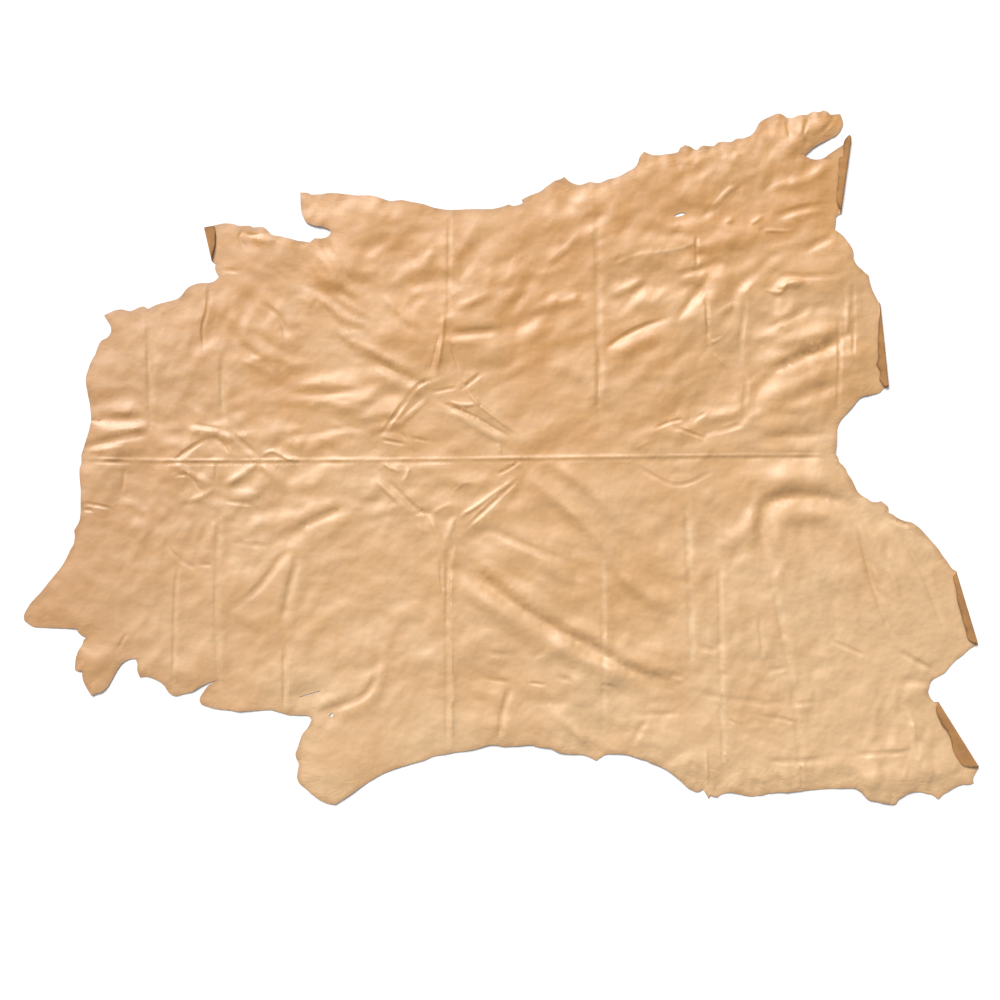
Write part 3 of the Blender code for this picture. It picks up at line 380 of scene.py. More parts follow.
def curveThrough(turns, step):
    # A smooth line through the turns, with points at even steps
    knots = [np.array(turn, dtype=float) for turn in turns]
    knots = [2 * knots[0] - knots[1]] + knots + [2 * knots[-1] - knots[-2]]
    line = []
    for index in range(1, len(knots) - 2):
        before, start, end, after = knots[index - 1:index + 3]
        pieces = max(1, round(np.linalg.norm(end - start) / step))
        for piece in range(pieces):
            t = piece / pieces
            line.append(0.5 * (2 * start + (end - before) * t
                               + (2 * before - 5 * start + 4 * end - after) * t ** 2
                               + (3 * start - before - 3 * end + after) * t ** 3))
    line.append(knots[-2])
    return np.array(line)


def aimedRolls():
    rolls = []
    for row in turnedEdges:
        start = onTable(row["start"])
        end = onTable(row["end"])
        length = np.linalg.norm(end - start)
        along = (end - start) / length
        outward = np.array((-along[1], along[0]))
        drop = hideSheet["flapDrop"]
        turn = math.pi + math.asin(min(1.0, drop / max(row["widest"] * mm, drop))) * hideSheet["flapLean"]
        rolls.append({
            "origin": start - outward * hideSheet["foldRadius"], "along": along, "outward": outward,
            "length": length, "turn": turn, "reach": (row["widest"] + 40) * mm,
        })
    return rolls


def openedOut(place, rolls):
    # Where a point of the flesh side lay before its edge turned over, and its height there
    radius = hideSheet["foldRadius"]
    for roll in rolls:
        offset = place[:2] - roll["origin"]
        along, out = offset @ roll["along"], offset @ roll["outward"]
        if not -hideSheet["rollMargin"] < along < roll["length"] + hideSheet["rollMargin"]:
            continue
        onTop = place[2] > 2.0 * mm and -42 * mm < out <= 0
        if not (onTop or 0 < out < radius + 1 * mm):
            continue
        arcEnd = radius * math.sin(roll["turn"])
        if onTop and out < arcEnd:
            past = roll["turn"] * radius + (out - arcEnd) / math.cos(roll["turn"])
        else:
            angle = math.atan2(out / radius, 1 - place[2] / radius)
            past = (angle + 2 * math.pi if angle < -0.5 * math.pi else angle) * radius
        flat = roll["origin"] + along * roll["along"] + past * roll["outward"]
        return np.array((flat[0], flat[1], 0.0))
    return np.array(place)


def rolledUp(points, heights, rolls):
    # The grain side in space: each strip past the start of a roll is carried round it
    placed = np.column_stack([points, heights + hideSheet["thickness"]])
    for roll in rolls:
        offset = points - roll["origin"]
        along, past = offset @ roll["along"], offset @ roll["outward"]
        taken = (past > 0) & (past < roll["reach"]) & (along > -hideSheet["rollMargin"])
        taken &= along < roll["length"] + hideSheet["rollMargin"]
        radius = hideSheet["foldRadius"] - hideSheet["thickness"] - heights
        arc = roll["turn"] * hideSheet["foldRadius"]
        angle = np.minimum(past, arc) / hideSheet["foldRadius"]
        straight = np.maximum(past - arc, 0.0)
        out = radius * np.sin(angle) + straight * math.cos(roll["turn"])
        rise = hideSheet["foldRadius"] - radius * np.cos(angle) + straight * math.sin(roll["turn"])
        flat = roll["origin"] + along[:, None] * roll["along"] + out[:, None] * roll["outward"]
        placed = np.where(taken[:, None], np.column_stack([flat, rise]), placed)
    return placed


def fleshSideOf(node):
    # The underside of the solid, opened out flat: a mesh whose height is the solid's own
    mesh = bmesh.new()
    mesh.from_mesh(node.data)
    bmesh.ops.remove_doubles(mesh, verts=mesh.verts, dist=0.00001)
    mesh.normal_update()
    # the faces of the cut edge are those with a side as long as the leather is thick
    thickness = hideSheet["thickness"]
    rim = {face for face in mesh.faces
           if any(abs(side.calc_length() - thickness) < 0.003 * mm for side in face.edges)}
    start = min(mesh.faces, key=lambda face: face.calc_center_median().z + face.normal.z)
    kept, edge = {start}, [start]
    while edge:
        for side in edge.pop().edges:
            for other in side.link_faces:
                if other not in kept and other not in rim:
                    kept.add(other)
                    edge.append(other)
    bmesh.ops.delete(mesh, geom=[face for face in mesh.faces if face not in kept], context="FACES")
    rolls = aimedRolls()
    for vert in mesh.verts:
        vert.co = openedOut(np.array(vert.co), rolls)
    bmesh.ops.reverse_faces(mesh, faces=mesh.faces)
    return mesh


def edgeLoops(mesh):
    # The cut edge and the edges of the holes, the longest first
    nextVert = {}
    for side in mesh.edges:
        if len(side.link_faces) == 1:
            loop = side.link_loops[0]
            nextVert[loop.vert] = loop.link_loop_next.vert
    loops = []
    while nextVert:
        first, follower = nextVert.popitem()
        loop = [first]
        while follower is not first:
            loop.append(follower)
            follower = nextVert.pop(follower)
        loops.append(np.array([tuple(vert.co)[:2] for vert in loop]))
    return sorted(loops, key=len, reverse=True)


def finerLoop(loop, step):
    # The same edge in short steps, smooth except at its corners, with the nibbles of a cut edge
    count, rate = len(loop), hideSheet["nibbleRate"]
    runs = np.roll(loop, -1, axis=0) - loop
    lengths = np.linalg.norm(runs, axis=1)
    headings = np.arctan2(runs[:, 1], runs[:, 0])
    turns = np.abs((headings - np.roll(headings, 1) + math.pi) % (2 * math.pi) - math.pi)
    corner = turns > math.radians(hideSheet["cornerTurn"])
    points = []
    for index in range(count):
        after, beyond = (index + 1) % count, (index + 2) % count
        here, there, length = loop[index], loop[after], lengths[index]
        leaving = runs[index] if corner[index] else there - loop[index - 1]
        arriving = runs[index] if corner[after] else loop[beyond] - here
        leaving = leaving / np.linalg.norm(leaving) * length
        arriving = arriving / np.linalg.norm(arriving) * length
        pieces = max(1, round(length / step))
        side = np.array((-runs[index][1], runs[index][0])) / length
        for piece in range(pieces):
            t = piece / pieces
            point = ((2 * t ** 3 - 3 * t ** 2 + 1) * here + (t ** 3 - 2 * t ** 2 + t) * leaving
                     + (3 * t ** 2 - 2 * t ** 3) * there + (t ** 3 - t ** 2) * arriving)
            if length > 2 * hideSheet["nibble"]:
                wave = noise.noise(Vector((point[0] * rate, point[1] * rate, 3.0)))
                point = point + side * wave * hideSheet["nibble"]
            points.append(point)
    return np.array(points)


def insideLoop(points, loop):
    # Even-odd test of many points against one closed edge
    inside = np.zeros(len(points), dtype=bool)
    x1, y1 = loop[:, 0], loop[:, 1]
    x2, y2 = np.roll(x1, -1), np.roll(y1, -1)
    rise = np.where(np.abs(y2 - y1) < 1e-12, 1e-12, y2 - y1)
    for first in range(0, len(points), 4000):
        part = points[first:first + 4000]
        x, y = part[:, 0:1], part[:, 1:2]
        crossed = ((y1 > y) != (y2 > y)) & (x < x1 + (y - y1) / rise * (x2 - x1))
        inside[first:first + 4000] = crossed.sum(axis=1) % 2 == 1
    return inside


def treeOf(points):
    tree = KDTree(len(points))
    for index, point in enumerate(points):
        tree.insert((point[0], point[1], 0.0), index)
    tree.balance()
    return tree


def nearestGap(tree, point):
    return tree.find((point[0], point[1], 0.0))[2]


def creaseRows():
    rows = [dict(zip(creaseColumns, crease)) for crease in creases]
    for row in rows:
        turns = onTable(row["turns"])
        row["half"] *= mm
        row["rise"] *= mm
        row["bank"] *= mm
        row["line"] = curveThrough(turns, max(7.0 * mm, row["half"]))
    return rows


class PointBag:
    # Points of the flat sheet, no two nearer than they should be

    def __init__(self, gap):
        self.gap, self.cells, self.points, self.lines = gap, {}, [], []

    def isClear(self, point, gap):
        column, row = int(point[0] // self.gap), int(point[1] // self.gap)
        for x in (column - 1, column, column + 1):
            for y in (row - 1, row, row + 1):
                for other in self.cells.get((x, y), ()):
                    if gap2d(point, self.points[other]) < gap:
                        return False
        return True

    def add(self, point):
        cell = (int(point[0] // self.gap), int(point[1] // self.gap))
        self.cells.setdefault(cell, []).append(len(self.points))
        self.points.append((point[0], point[1]))
        return len(self.points) - 1

    def addLoop(self, loop):
        places = [self.add(point) for point in loop]
        self.lines.extend(zip(places, places[1:] + places[:1]))


def laidOut(outline, holes, rows):
    bag = PointBag(hideSheet["leastGap"])
    for loop in [outline] + holes:
        bag.addLoop(loop)
    edgeTree = treeOf(np.vstack([outline] + holes))
    addRollRows(bag, outline, edgeTree)
    for row in rows:
        line = row["line"]
        runs = np.gradient(line, axis=0)
        runs /= np.linalg.norm(runs, axis=1)[:, None]
        sideways = np.column_stack([-runs[:, 1], runs[:, 0]])
        for reach in (0, -1.0, 1.0, -2.1, 2.1):
            shifted = line + sideways * reach * row["half"]
            for point in shifted[insideLoop(shifted, outline)]:
                clear = nearestGap(edgeTree, point) > hideSheet["edgeClear"]
                if clear and bag.isClear(point, hideSheet["leastGap"]):
                    bag.add(point)
    print("stage: crease points", len(bag.points))
    # even rows of points over what is left, closer together where the edge is ruffled
    fill(bag, outline, hideSheet["fineStep"], lambda grid: ruffled(grid, edgeTree) > 1.3 * mm)
    fill(bag, outline, hideSheet["fillStep"], lambda grid: np.ones(len(grid), dtype=bool))
    return bag


def addRollRows(bag, outline, edgeTree):
    # Rows along each turned-over edge, close enough together to go round it smoothly
    clear = hideSheet["rollClear"]
    for roll in aimedRolls():
        alongs = np.arange(-hideSheet["rollMargin"], roll["length"] + hideSheet["rollMargin"], 5 * mm)
        for row in range(-3, 16):
            past = row * hideSheet["rollStep"]
            points = roll["origin"] + alongs[:, None] * roll["along"] + past * roll["outward"]
            for point in points[insideLoop(points, outline)]:
                if nearestGap(edgeTree, point) > clear and bag.isClear(point, clear):
                    bag.add(point)


def ruffled(points, edgeTree):
    # How high the waves of the cut edge stand at each point
    heights = np.zeros(len(points))
    for row in edgeWaves:
        name, centre, reach, wave, inward, height = row
        away = points - onTable(centre)
        near = np.nonzero(np.sum(away ** 2, axis=1) < (1.6 * reach * mm) ** 2)[0]
        for index in near:
            gap = nearestGap(edgeTree, points[index])
            share = math.exp(-np.sum(away[index] ** 2) / (reach * mm) ** 2 - (gap / (inward * mm)) ** 2)
            heights[index] = max(heights[index], height * mm * share)
    return heights


def fill(bag, outline, step, wanted):
    tree = treeOf(bag.points)
    low, high = outline.min(axis=0), outline.max(axis=0)
    grid, rowRise = [], hideSheet["rowRise"]
    for row in range(int((high[1] - low[1]) / (step * rowRise)) + 1):
        for column in range(int((high[0] - low[0]) / step) + 2):
            grid.append((low[0] + (column + 0.5 * (row % 2)) * step, low[1] + row * step * rowRise))
    grid = np.array(grid)
    grid = grid[insideLoop(grid, outline)]
    for point in grid[wanted(grid)]:
        if nearestGap(tree, point) > hideSheet["fillClear"] * step:
            bag.add(point)


def creaseHeights(points, rows):
    total, worn = np.zeros(len(points)), np.zeros(len(points))
    unevenLength = hideSheet["unevenLength"]
    for row in rows:
        line, half = row["line"], row["half"]
        reach = 8 * half
        low, high = line.min(axis=0) - reach, line.max(axis=0) + reach
        near = np.nonzero(np.all((points > low) & (points < high), axis=1))[0]
        if not len(near):
            continue
        local = points[near]
        lengths = np.linalg.norm(np.diff(line, axis=0), axis=1)
        best = np.full(len(near), np.inf)
        share = np.zeros(len(near))
        passed = 0.0
        for start, end, length in zip(line[:-1], line[1:], lengths):
            run = end - start
            offset = local - start
            along = np.clip(offset @ run / length ** 2, 0, 1)
            gap = np.linalg.norm(offset - along[:, None] * run, axis=1)
            closer = gap < best
            best = np.where(closer, gap, best)
            share = np.where(closer, passed + along * length, share)
            passed += length
        fadeLength = min(hideSheet["fadeShare"] * passed, hideSheet["fadeLength"])
        fade = np.clip(np.minimum(share, passed - share) / fadeLength, 0, 1)
        fade = fade * fade * (3 - 2 * fade)
        depth = np.array([noise.noise(Vector((place / unevenLength, 7.3 * half / mm, line[0][0] * 50)))
                          for place in share])
        fade = fade * (1 + hideSheet["unevenDepth"] * 1.6 * np.clip(depth, -0.6, 0.6))
        r = best / half
        # narrow creases come to a sharp line, wide ones stay soft
        sharp = np.clip((8 * mm - half) / (4 * mm), 0, 0.7)
        across = (1 - sharp) * np.exp(-r ** 2) + sharp * np.exp(-1.7 * r)
        total[near] += fade * (row["rise"] * across + row["bank"] * np.exp(-(r / 3) ** 2))
        # paler along the crease line: a painted highlight there, partly finish rubbed off
        highlightAndWear = row.get("worn", 0.0) * np.clip(fade, 0, 1.3) * np.exp(-(r / 1.7) ** 2)
        worn[near] = np.maximum(worn[near], highlightAndWear)
    return total, worn


def rippleHeights(points):
    total = np.zeros(len(points))
    for seed, row in enumerate(ripples):
        name, centre, reach, runs, wave, stretch, height = row
        offset = points - onTable(centre)
        share = np.exp(-np.sum((offset / (np.array(reach) * mm)) ** 2, axis=1))
        turn = math.radians(runs)
        along = offset @ np.array((math.cos(turn), math.sin(turn)))
        across = offset @ np.array((-math.sin(turn), math.cos(turn)))
        unit = hideSheet["noiseUnit"] * wave * mm
        for index in np.nonzero(share > 0.05)[0]:
            u, v = along[index] / unit, across[index] / unit
            bend = 0.9 * noise.noise(Vector((u / 3, v / 3, seed + 40.5)))
            value = noise.noise(Vector((u / stretch, v + bend, seed + 0.5)))
            value += 0.45 * noise.noise(Vector((2.1 * u / stretch, 2.1 * (v + bend), seed + 20.5)))
            calm = 0.95 + 1.5 * noise.noise(Vector((u / 5, v / 5, seed + 80.5)))
            total[index] += height * mm * share[index] * value * max(0.25, calm) * 1.5
    return total


def edgeWaveHeights(points, outline):
    # Waves that run in from the cut edge and die away
    tree = treeOf(outline)
    steps = np.linalg.norm(np.roll(outline, -1, axis=0) - outline, axis=1)
    walked = np.concatenate([[0], np.cumsum(steps)])
    nearest = [tree.find((point[0], point[1], 0.0)) for point in points]
    gaps = np.array([found[2] for found in nearest])
    places = np.array([walked[found[1]] for found in nearest])
    total = np.zeros(len(points))
    for seed, row in enumerate(edgeWaves):
        name, centre, reach, wave, inward, height = row
        offset = points - onTable(centre)
        share = np.exp(-np.sum(offset ** 2, axis=1) / (reach * mm) ** 2 - (gaps / (inward * mm)) ** 2)
        unit = hideSheet["noiseUnit"] * wave * mm
        for index in np.nonzero(share > 0.03)[0]:
            place = Vector((places[index] / unit, gaps[index] / (3 * unit), seed + 60.5))
            total[index] += height * mm * share[index] * noise.noise(place) * 1.4
    return total, gaps


def holeGaps(points, holes):
    tree = treeOf(np.vstack(holes))
    return np.array([nearestGap(tree, point) for point in points])


def rollCalm(points, rolls):
    # 0 beside a turned-over edge and on it, 1 well away from it
    calm = np.ones(len(points))
    for roll in rolls:
        offset = points - roll["origin"]
        along = np.clip(offset @ roll["along"], 0, roll["length"])
        gap = np.linalg.norm(offset - along[:, None] * roll["along"], axis=1)
        span = hideSheet["fullFromRoll"] - hideSheet["flatNearRoll"]
        share = np.clip((gap - hideSheet["flatNearRoll"]) / span, 0, 1)
        calm = np.minimum(calm, share)
    return calm


def baseHeights(points, layFlat):
    # Height of the solid's own folds under each point, read from its smoothed underside
    data = bpy.data.meshes.new("fleshSide")
    layFlat.to_mesh(data)
    smoothed = bpy.data.objects.new("fleshSide", data)
    bpy.context.scene.collection.objects.link(smoothed)
    softer = smoothed.modifiers.new("softer", "SUBSURF")
    softer.levels = softer.render_levels = 2
    bpy.context.view_layer.update()
    tree = BVHTree.FromObject(smoothed, bpy.context.evaluated_depsgraph_get())
    heights = np.zeros(len(points))
    for index, point in enumerate(points):
        hit = tree.ray_cast(Vector((point[0], point[1], 1.0)), Vector((0, 0, -1)))[0]
        if hit is None:
            hit = tree.find_nearest(Vector((point[0], point[1], 0.0)))[0]
        heights[index] = hit.z
    bpy.data.objects.remove(smoothed)
    return heights


def makeHide():
    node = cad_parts["hide"]
    layFlat = fleshSideOf(node)
    loops = edgeLoops(layFlat)
    outline = finerLoop(loops[0], hideSheet["edgeStep"])
    holes = [finerLoop(loop, hideSheet["edgeStep"]) for loop in loops[1:]]
    print("stage: cut edge", len(outline), "points, holes", len(holes))
    rows = creaseRows()
    bag = laidOut(outline, holes, rows)
    verts, _, faces, _, _, _ = delaunay_2d_cdt(
        [Vector(point) for point in bag.points], bag.lines, [], 1, 1e-7, False)
    points = np.array([tuple(vert) for vert in verts])
    faces = np.array(faces)
    middles = points[faces].mean(axis=1)
    kept = insideLoop(middles, outline)
    for hole in holes:
        kept &= ~insideLoop(middles, hole)
    faces = faces[kept]
    print("stage: triangles a side", len(faces), "points", len(points))
    rolls = aimedRolls()
    heights = baseHeights(points, layFlat)
    edgeLift, edgeGaps = edgeWaveHeights(points, outline)
    creased, worn = creaseHeights(points, rows)
    # the ripples die down beside the listed folds
    near = np.clip(np.abs(creased) / hideSheet["rippleCalmBy"], 0, 1)
    rippled = rippleHeights(points) * (1 - hideSheet["rippleCalm"] * near)
    relief = (hideSheet["creaseGain"] * creased + hideSheet["rippleGain"] * rippled
              + hideSheet["waveGain"] * edgeLift + hideSheet["lift"])
    heights = heights + rollCalm(points, rolls) * relief
    soft = hideSheet["floorSoft"]
    heights = 0.5 * (heights + np.sqrt(heights ** 2 + soft ** 2)) - hideSheet["floorSink"]
    settled = np.clip(edgeGaps / hideSheet["edgeRest"], 0, 1)
    rolled = 1 - rollCalm(points, rolls)
    heights *= np.maximum(hideSheet["edgeShare"] + (1 - hideSheet["edgeShare"]) * settled, rolled)
    byHole = np.clip(holeGaps(points, holes) / hideSheet["flatByHole"], 0.15, 1)
    heights = np.maximum(heights, 0.0) * byHole
    print("stage: heights up to", round(heights.max() / mm, 1), "mm")
    placed = rolledUp(points, heights, rolls)
    mesh = bpy.data.meshes.new("leatherHide")
    mesh.from_pydata(placed.tolist(), [], faces.tolist())
    cutMap = mesh.uv_layers.new(name="cutMap")
    corners = np.array([loop.vertex_index for loop in mesh.loops])
    cutMap.data.foreach_set("uv", points[corners].astype(np.float32).ravel())
    # paler along the fold lines: a painted highlight, partly finish rubbed off there
    masks = {"edgeGap": edgeGaps / mm, "worn": worn,
             "wrinkled": np.clip(ruffled(points, treeOf(outline)) / mm / 2.2, 0, 1)}
    for name, values in masks.items():
        layer = mesh.attributes.new(name=name, type="FLOAT", domain="POINT")
        layer.data.foreach_set("value", values.astype(np.float32))
    hide = bpy.data.objects.new("leatherHide", mesh)
    bpy.context.scene.collection.objects.link(hide)
    bpy.ops.object.select_all(action="DESELECT")
    hide.select_set(True)
    bpy.context.view_layer.objects.active = hide
    thick = hide.modifiers.new("thickness", "SOLIDIFY")
    thick.thickness = hideSheet["thickness"]
    thick.offset = -1.0
    bpy.ops.object.modifier_apply(modifier="thickness")
    paintFaces(hide, len(points))
    return hide


def paintFaces(hide, grainCount):
    # Material 0 on the grain side, 1 on the flesh side, 2 on the cut edge
    mesh = bmesh.new()
    mesh.from_mesh(hide.data)
    mesh.verts.ensure_lookup_table()
    for face in mesh.faces:
        grain = sum(vert.index < grainCount for vert in face.verts)
        face.material_index = 0 if grain == len(face.verts) else 1 if grain == 0 else 2
        face.smooth = True
    for side in mesh.edges:
        slots = {face.material_index for face in side.link_faces}
        side.smooth = len(slots) == 1
    mesh.to_mesh(hide.data)
    mesh.free()


# Colours and finish of the leather, with painted highlight, shade and light among them, lengths in
# millimetres
finish = {
    "gold": (0.532, 0.237, 0.035, 1),     # upper back and rump
    "pale": (0.645, 0.400, 0.188, 1),     # butt, flank and neck
    "neck": (0.470, 0.215, 0.048, 1),     # greyer towards the head
    "worn": (0.80, 0.58, 0.34, 1),         # painted highlight along old folds, partly finish rubbed pale there
    "deep": (0.36, 0.16, 0.040, 1),        # darker patches here and there, and towards the cut edge partly painted shade
    "flesh": (0.42, 0.215, 0.085, 1),
    "fleshDark": (0.25, 0.12, 0.045, 1),
    # dark cut edge; also laid along the flesh side's edge, partly as painted shade under the free edges of
    # the turned strips
    "edge": (0.10, 0.055, 0.03, 1),
    "cloudSize": 240.0,
    "patchSize": 55.0,
    "pebbleSize": 2.4,
    "pebbleHeight": 0.05,
    "wrinkleSize": 21.0,
    "wrinkleHeight": 0.6,
    "dimpleSize": 30.0,
    "dimpleHeight": 1.0,
    "streakSize": 9.0,
    "pearl": 0.05,
    "shine": 0.3,
    "coat": 1.0,
    "coatIor": 2.1,
    "coatRoughness": 0.55,
    "roughness": 0.6,
    "fleshRoughness": 0.9,
    "edgeReach": 14.0,
    "streakHeight": 0.06,
    "wrinkleLeast": 0.12,
    "fibreSize": 3.5,
    "edgeFibreSize": 2.0,
    "fleshPatchSize": 40.0,
    "fleshEdgeReach": 5.0,
    "paleDown": -0.72,                     # how fast gold turns pale, a metre, and by the clouds; the lighter lower tailward side is partly painted light
    "paleAside": 0.30,
    "paleTailward": 0.16,
    "paleClouds": 0.45,
    "paleLeast": 0.08,
}


def shaderNode(tree, kind, settings=None, **inputs):
    # The outputs of a new node with its settings, its sockets set or linked
    made = tree.nodes.new(kind)
    for key, value in (settings or {}).items():
        setattr(made, key, value)
    for key, value in inputs.items():
        socket = made.inputs[int(key[1:])] if key[0] == "i" and key[1:].isdigit() else made.inputs[key]
        if isinstance(value, bpy.types.NodeSocket):
            tree.links.new(value, socket)
        else:
            socket.default_value = value
    return made.outputs


def mathNode(tree, operation, clamp=False, **inputs):
    return shaderNode(tree, "ShaderNodeMath", {"operation": operation, "use_clamp": clamp}, **inputs)


def rangeNode(tree, **inputs):
    return shaderNode(tree, "ShaderNodeMapRange", {}, **inputs)


def blendNode(tree, **inputs):
    return shaderNode(tree, "ShaderNodeMix", {"data_type": "RGBA"}, **inputs)


def noiseNode(tree, place, **inputs):
    flat = {"noise_dimensions": "2D"}
    return shaderNode(tree, "ShaderNodeTexNoise", flat, Vector=place, Scale=1.0, **inputs)


def maskOf(tree, name):
    # A value that makeHide left at every point
    return shaderNode(tree, "ShaderNodeAttribute", {"attribute_name": name})["Fac"]


def effectGroup(name, inputs, outputs):
    # An empty group with named sockets
    tree = bpy.data.node_groups.new(name, "ShaderNodeTree")
    for label, kind, value in inputs:
        socket = tree.interface.new_socket(name=label, in_out="INPUT", socket_type="NodeSocket" + kind)
        if value is not None:
            socket.default_value = value
    for label, kind in outputs:
        tree.interface.new_socket(name=label, in_out="OUTPUT", socket_type="NodeSocket" + kind)
    return tree, tree.nodes.new("NodeGroupInput").outputs, tree.nodes.new("NodeGroupOutput").inputs


def scaledPlace(tree, place, size, squash=(1, 1, 1)):
    # The place over the size, stretched
    over = mathNode(tree, "DIVIDE", i0=1000.0, i1=size)[0]
    scaled = shaderNode(tree, "ShaderNodeVectorMath", {"operation": "SCALE"}, i0=place, i3=over)[0]
    return shaderNode(tree, "ShaderNodeVectorMath", {"operation": "MULTIPLY"}, i0=scaled, i1=squash)[0]


def makeCloudsGroup():
    tree, given, result = effectGroup(
        "softClouds", [("Place", "Vector", None), ("Size", "Float", 100.0), ("Detail", "Float", 3.0)],
        [("Mask", "Float")])
    place = scaledPlace(tree, given["Place"], given["Size"])
    cloud = noiseNode(tree, place, Detail=given["Detail"], Roughness=0.55)
    spread = rangeNode(tree, i0=cloud[0], i1=0.32, i2=0.68)
    tree.links.new(spread[0], result["Mask"])
    return tree


def makePebblesGroup():
    tree, given, result = effectGroup(
        "pebbleGrain", [("Place", "Vector", None), ("Size", "Float", 2.0), ("Depth", "Float", 0.05)],
        [("Height", "Float")])
    place = scaledPlace(tree, given["Place"], given["Size"])
    cells = shaderNode(tree, "ShaderNodeTexVoronoi", {"feature": "F1", "voronoi_dimensions": "2D"},
                       Vector=place, Scale=1.0)
    height = mathNode(tree, "MULTIPLY", i0=cells[0], i1=given["Depth"])
    turned = mathNode(tree, "MULTIPLY", i0=height[0], i1=-1.0)
    tree.links.new(turned[0], result["Height"])
    return tree


def makeWrinklesGroup():
    tree, given, result = effectGroup(
        "fatWrinkles", [("Place", "Vector", None), ("Size", "Float", 18.0), ("Depth", "Float", 0.5),
                        ("Amount", "Float", 1.0)], [("Height", "Float")])
    place = scaledPlace(tree, given["Place"], given["Size"], (0.62, 1.0, 1.0))
    rough = noiseNode(tree, place, Detail=1.5, Roughness=0.5, Distortion=0.8)
    lowered = mathNode(tree, "SUBTRACT", i0=rough[0], i1=0.5)
    ridge = mathNode(tree, "ABSOLUTE", i0=lowered[0])
    soft = mathNode(tree, "MULTIPLY", i0=ridge[0], i1=-3.2)
    deep = mathNode(tree, "MULTIPLY", i0=soft[0], i1=given["Depth"])
    masked = mathNode(tree, "MULTIPLY", i0=deep[0], i1=given["Amount"])
    tree.links.new(masked[0], result["Height"])
    return tree


def makeStreaksGroup():
    tree, given, result = effectGroup(
        "fineStreaks", [("Place", "Vector", None), ("Size", "Float", 9.0)], [("Mask", "Float")])
    place = scaledPlace(tree, given["Place"], given["Size"], (1.0, 0.16, 1.0))
    lines = noiseNode(tree, place, Detail=4.0, Roughness=0.6)
    spread = rangeNode(tree, i0=lines[0], i1=0.3, i2=0.7)
    tree.links.new(spread[0], result["Mask"])
    return tree


def makeEdgeGroup():
    # Darker towards the cut edge, unevenly: partly wear of the edge, partly painted shade along it
    tree, given, result = effectGroup(
        "edgeWearAndShade", [("Color", "Color", None), ("Worn", "Color", None), ("Gap", "Float", 0.0),
                     ("Reach", "Float", 14.0), ("Uneven", "Float", 0.5)], [("Color", "Color")])
    reach = rangeNode(tree, i0=given["Uneven"], i3=0.25, i4=1.5)
    span = mathNode(tree, "MULTIPLY", i0=reach[0], i1=given["Reach"])
    share = mathNode(tree, "DIVIDE", i0=given["Gap"], i1=span[0])
    worn = rangeNode(tree, i0=share[0], i3=0.55, i4=0.0)
    mixed = blendNode(tree, i0=worn[0], i6=given["Color"], i7=given["Worn"])
    tree.links.new(mixed[2], result["Color"])
    return tree


def makeToneAndLightGroup():
    # Gold on the upper back, paler towards the lower side, the neck and the butt: partly the leather's own
    # tone, partly painted light that makes the lower, tailward side lighter
    tree, given, result = effectGroup(
        "hideToneAndLight", [("Place", "Vector", None), ("Gold", "Color", None), ("Pale", "Color", None),
                     ("Neck", "Color", None), ("Clouds", "Float", 0.5)], [("Color", "Color")])
    parts = shaderNode(tree, "ShaderNodeSeparateXYZ", {}, i0=given["Place"])
    aside = mathNode(tree, "SUBTRACT", i0=parts[0], i1=0.12)
    away = mathNode(tree, "ABSOLUTE", i0=aside[0])
    tailward = mathNode(tree, "MULTIPLY", i0=parts[0], i1=finish["paleTailward"])
    wide = mathNode(tree, "MULTIPLY_ADD", i0=away[0], i1=finish["paleAside"], i2=tailward[0])
    down = mathNode(tree, "MULTIPLY_ADD", i0=parts[1], i1=finish["paleDown"], i2=wide[0])
    cloudy = mathNode(tree, "MULTIPLY_ADD", i0=given["Clouds"], i1=finish["paleClouds"], i2=down[0])
    mask = mathNode(tree, "ADD", clamp=True, i0=cloudy[0], i1=finish["paleLeast"])
    mixed = blendNode(tree, i0=mask[0], i6=given["Gold"], i7=given["Pale"])
    headward = rangeNode(tree, i0=parts[0], i1=-0.45, i2=-1.15, i3=0.0, i4=0.85)
    greyed = blendNode(tree, i0=headward[0], i6=mixed[2], i7=given["Neck"])
    tree.links.new(greyed[2], result["Color"])
    return tree


def makeFibresGroup():
    tree, given, result = effectGroup(
        "fleshFibres", [("Place", "Vector", None), ("Size", "Float", 4.0)], [("Mask", "Float")])
    place = scaledPlace(tree, given["Place"], given["Size"], (1.0, 0.35, 1.0))
    fibres = noiseNode(tree, place, Detail=6.0, Roughness=0.7, Distortion=1.2)
    tree.links.new(fibres[0], result["Mask"])
    return tree


def newMaterial(name):
    material = bpy.data.materials.new(name)
    material.use_nodes = True
    return material, material.node_tree, material.node_tree.nodes["Principled BSDF"]


def placeOn(tree):
    return shaderNode(tree, "ShaderNodeUVMap", {"uv_map": "cutMap"})[0]


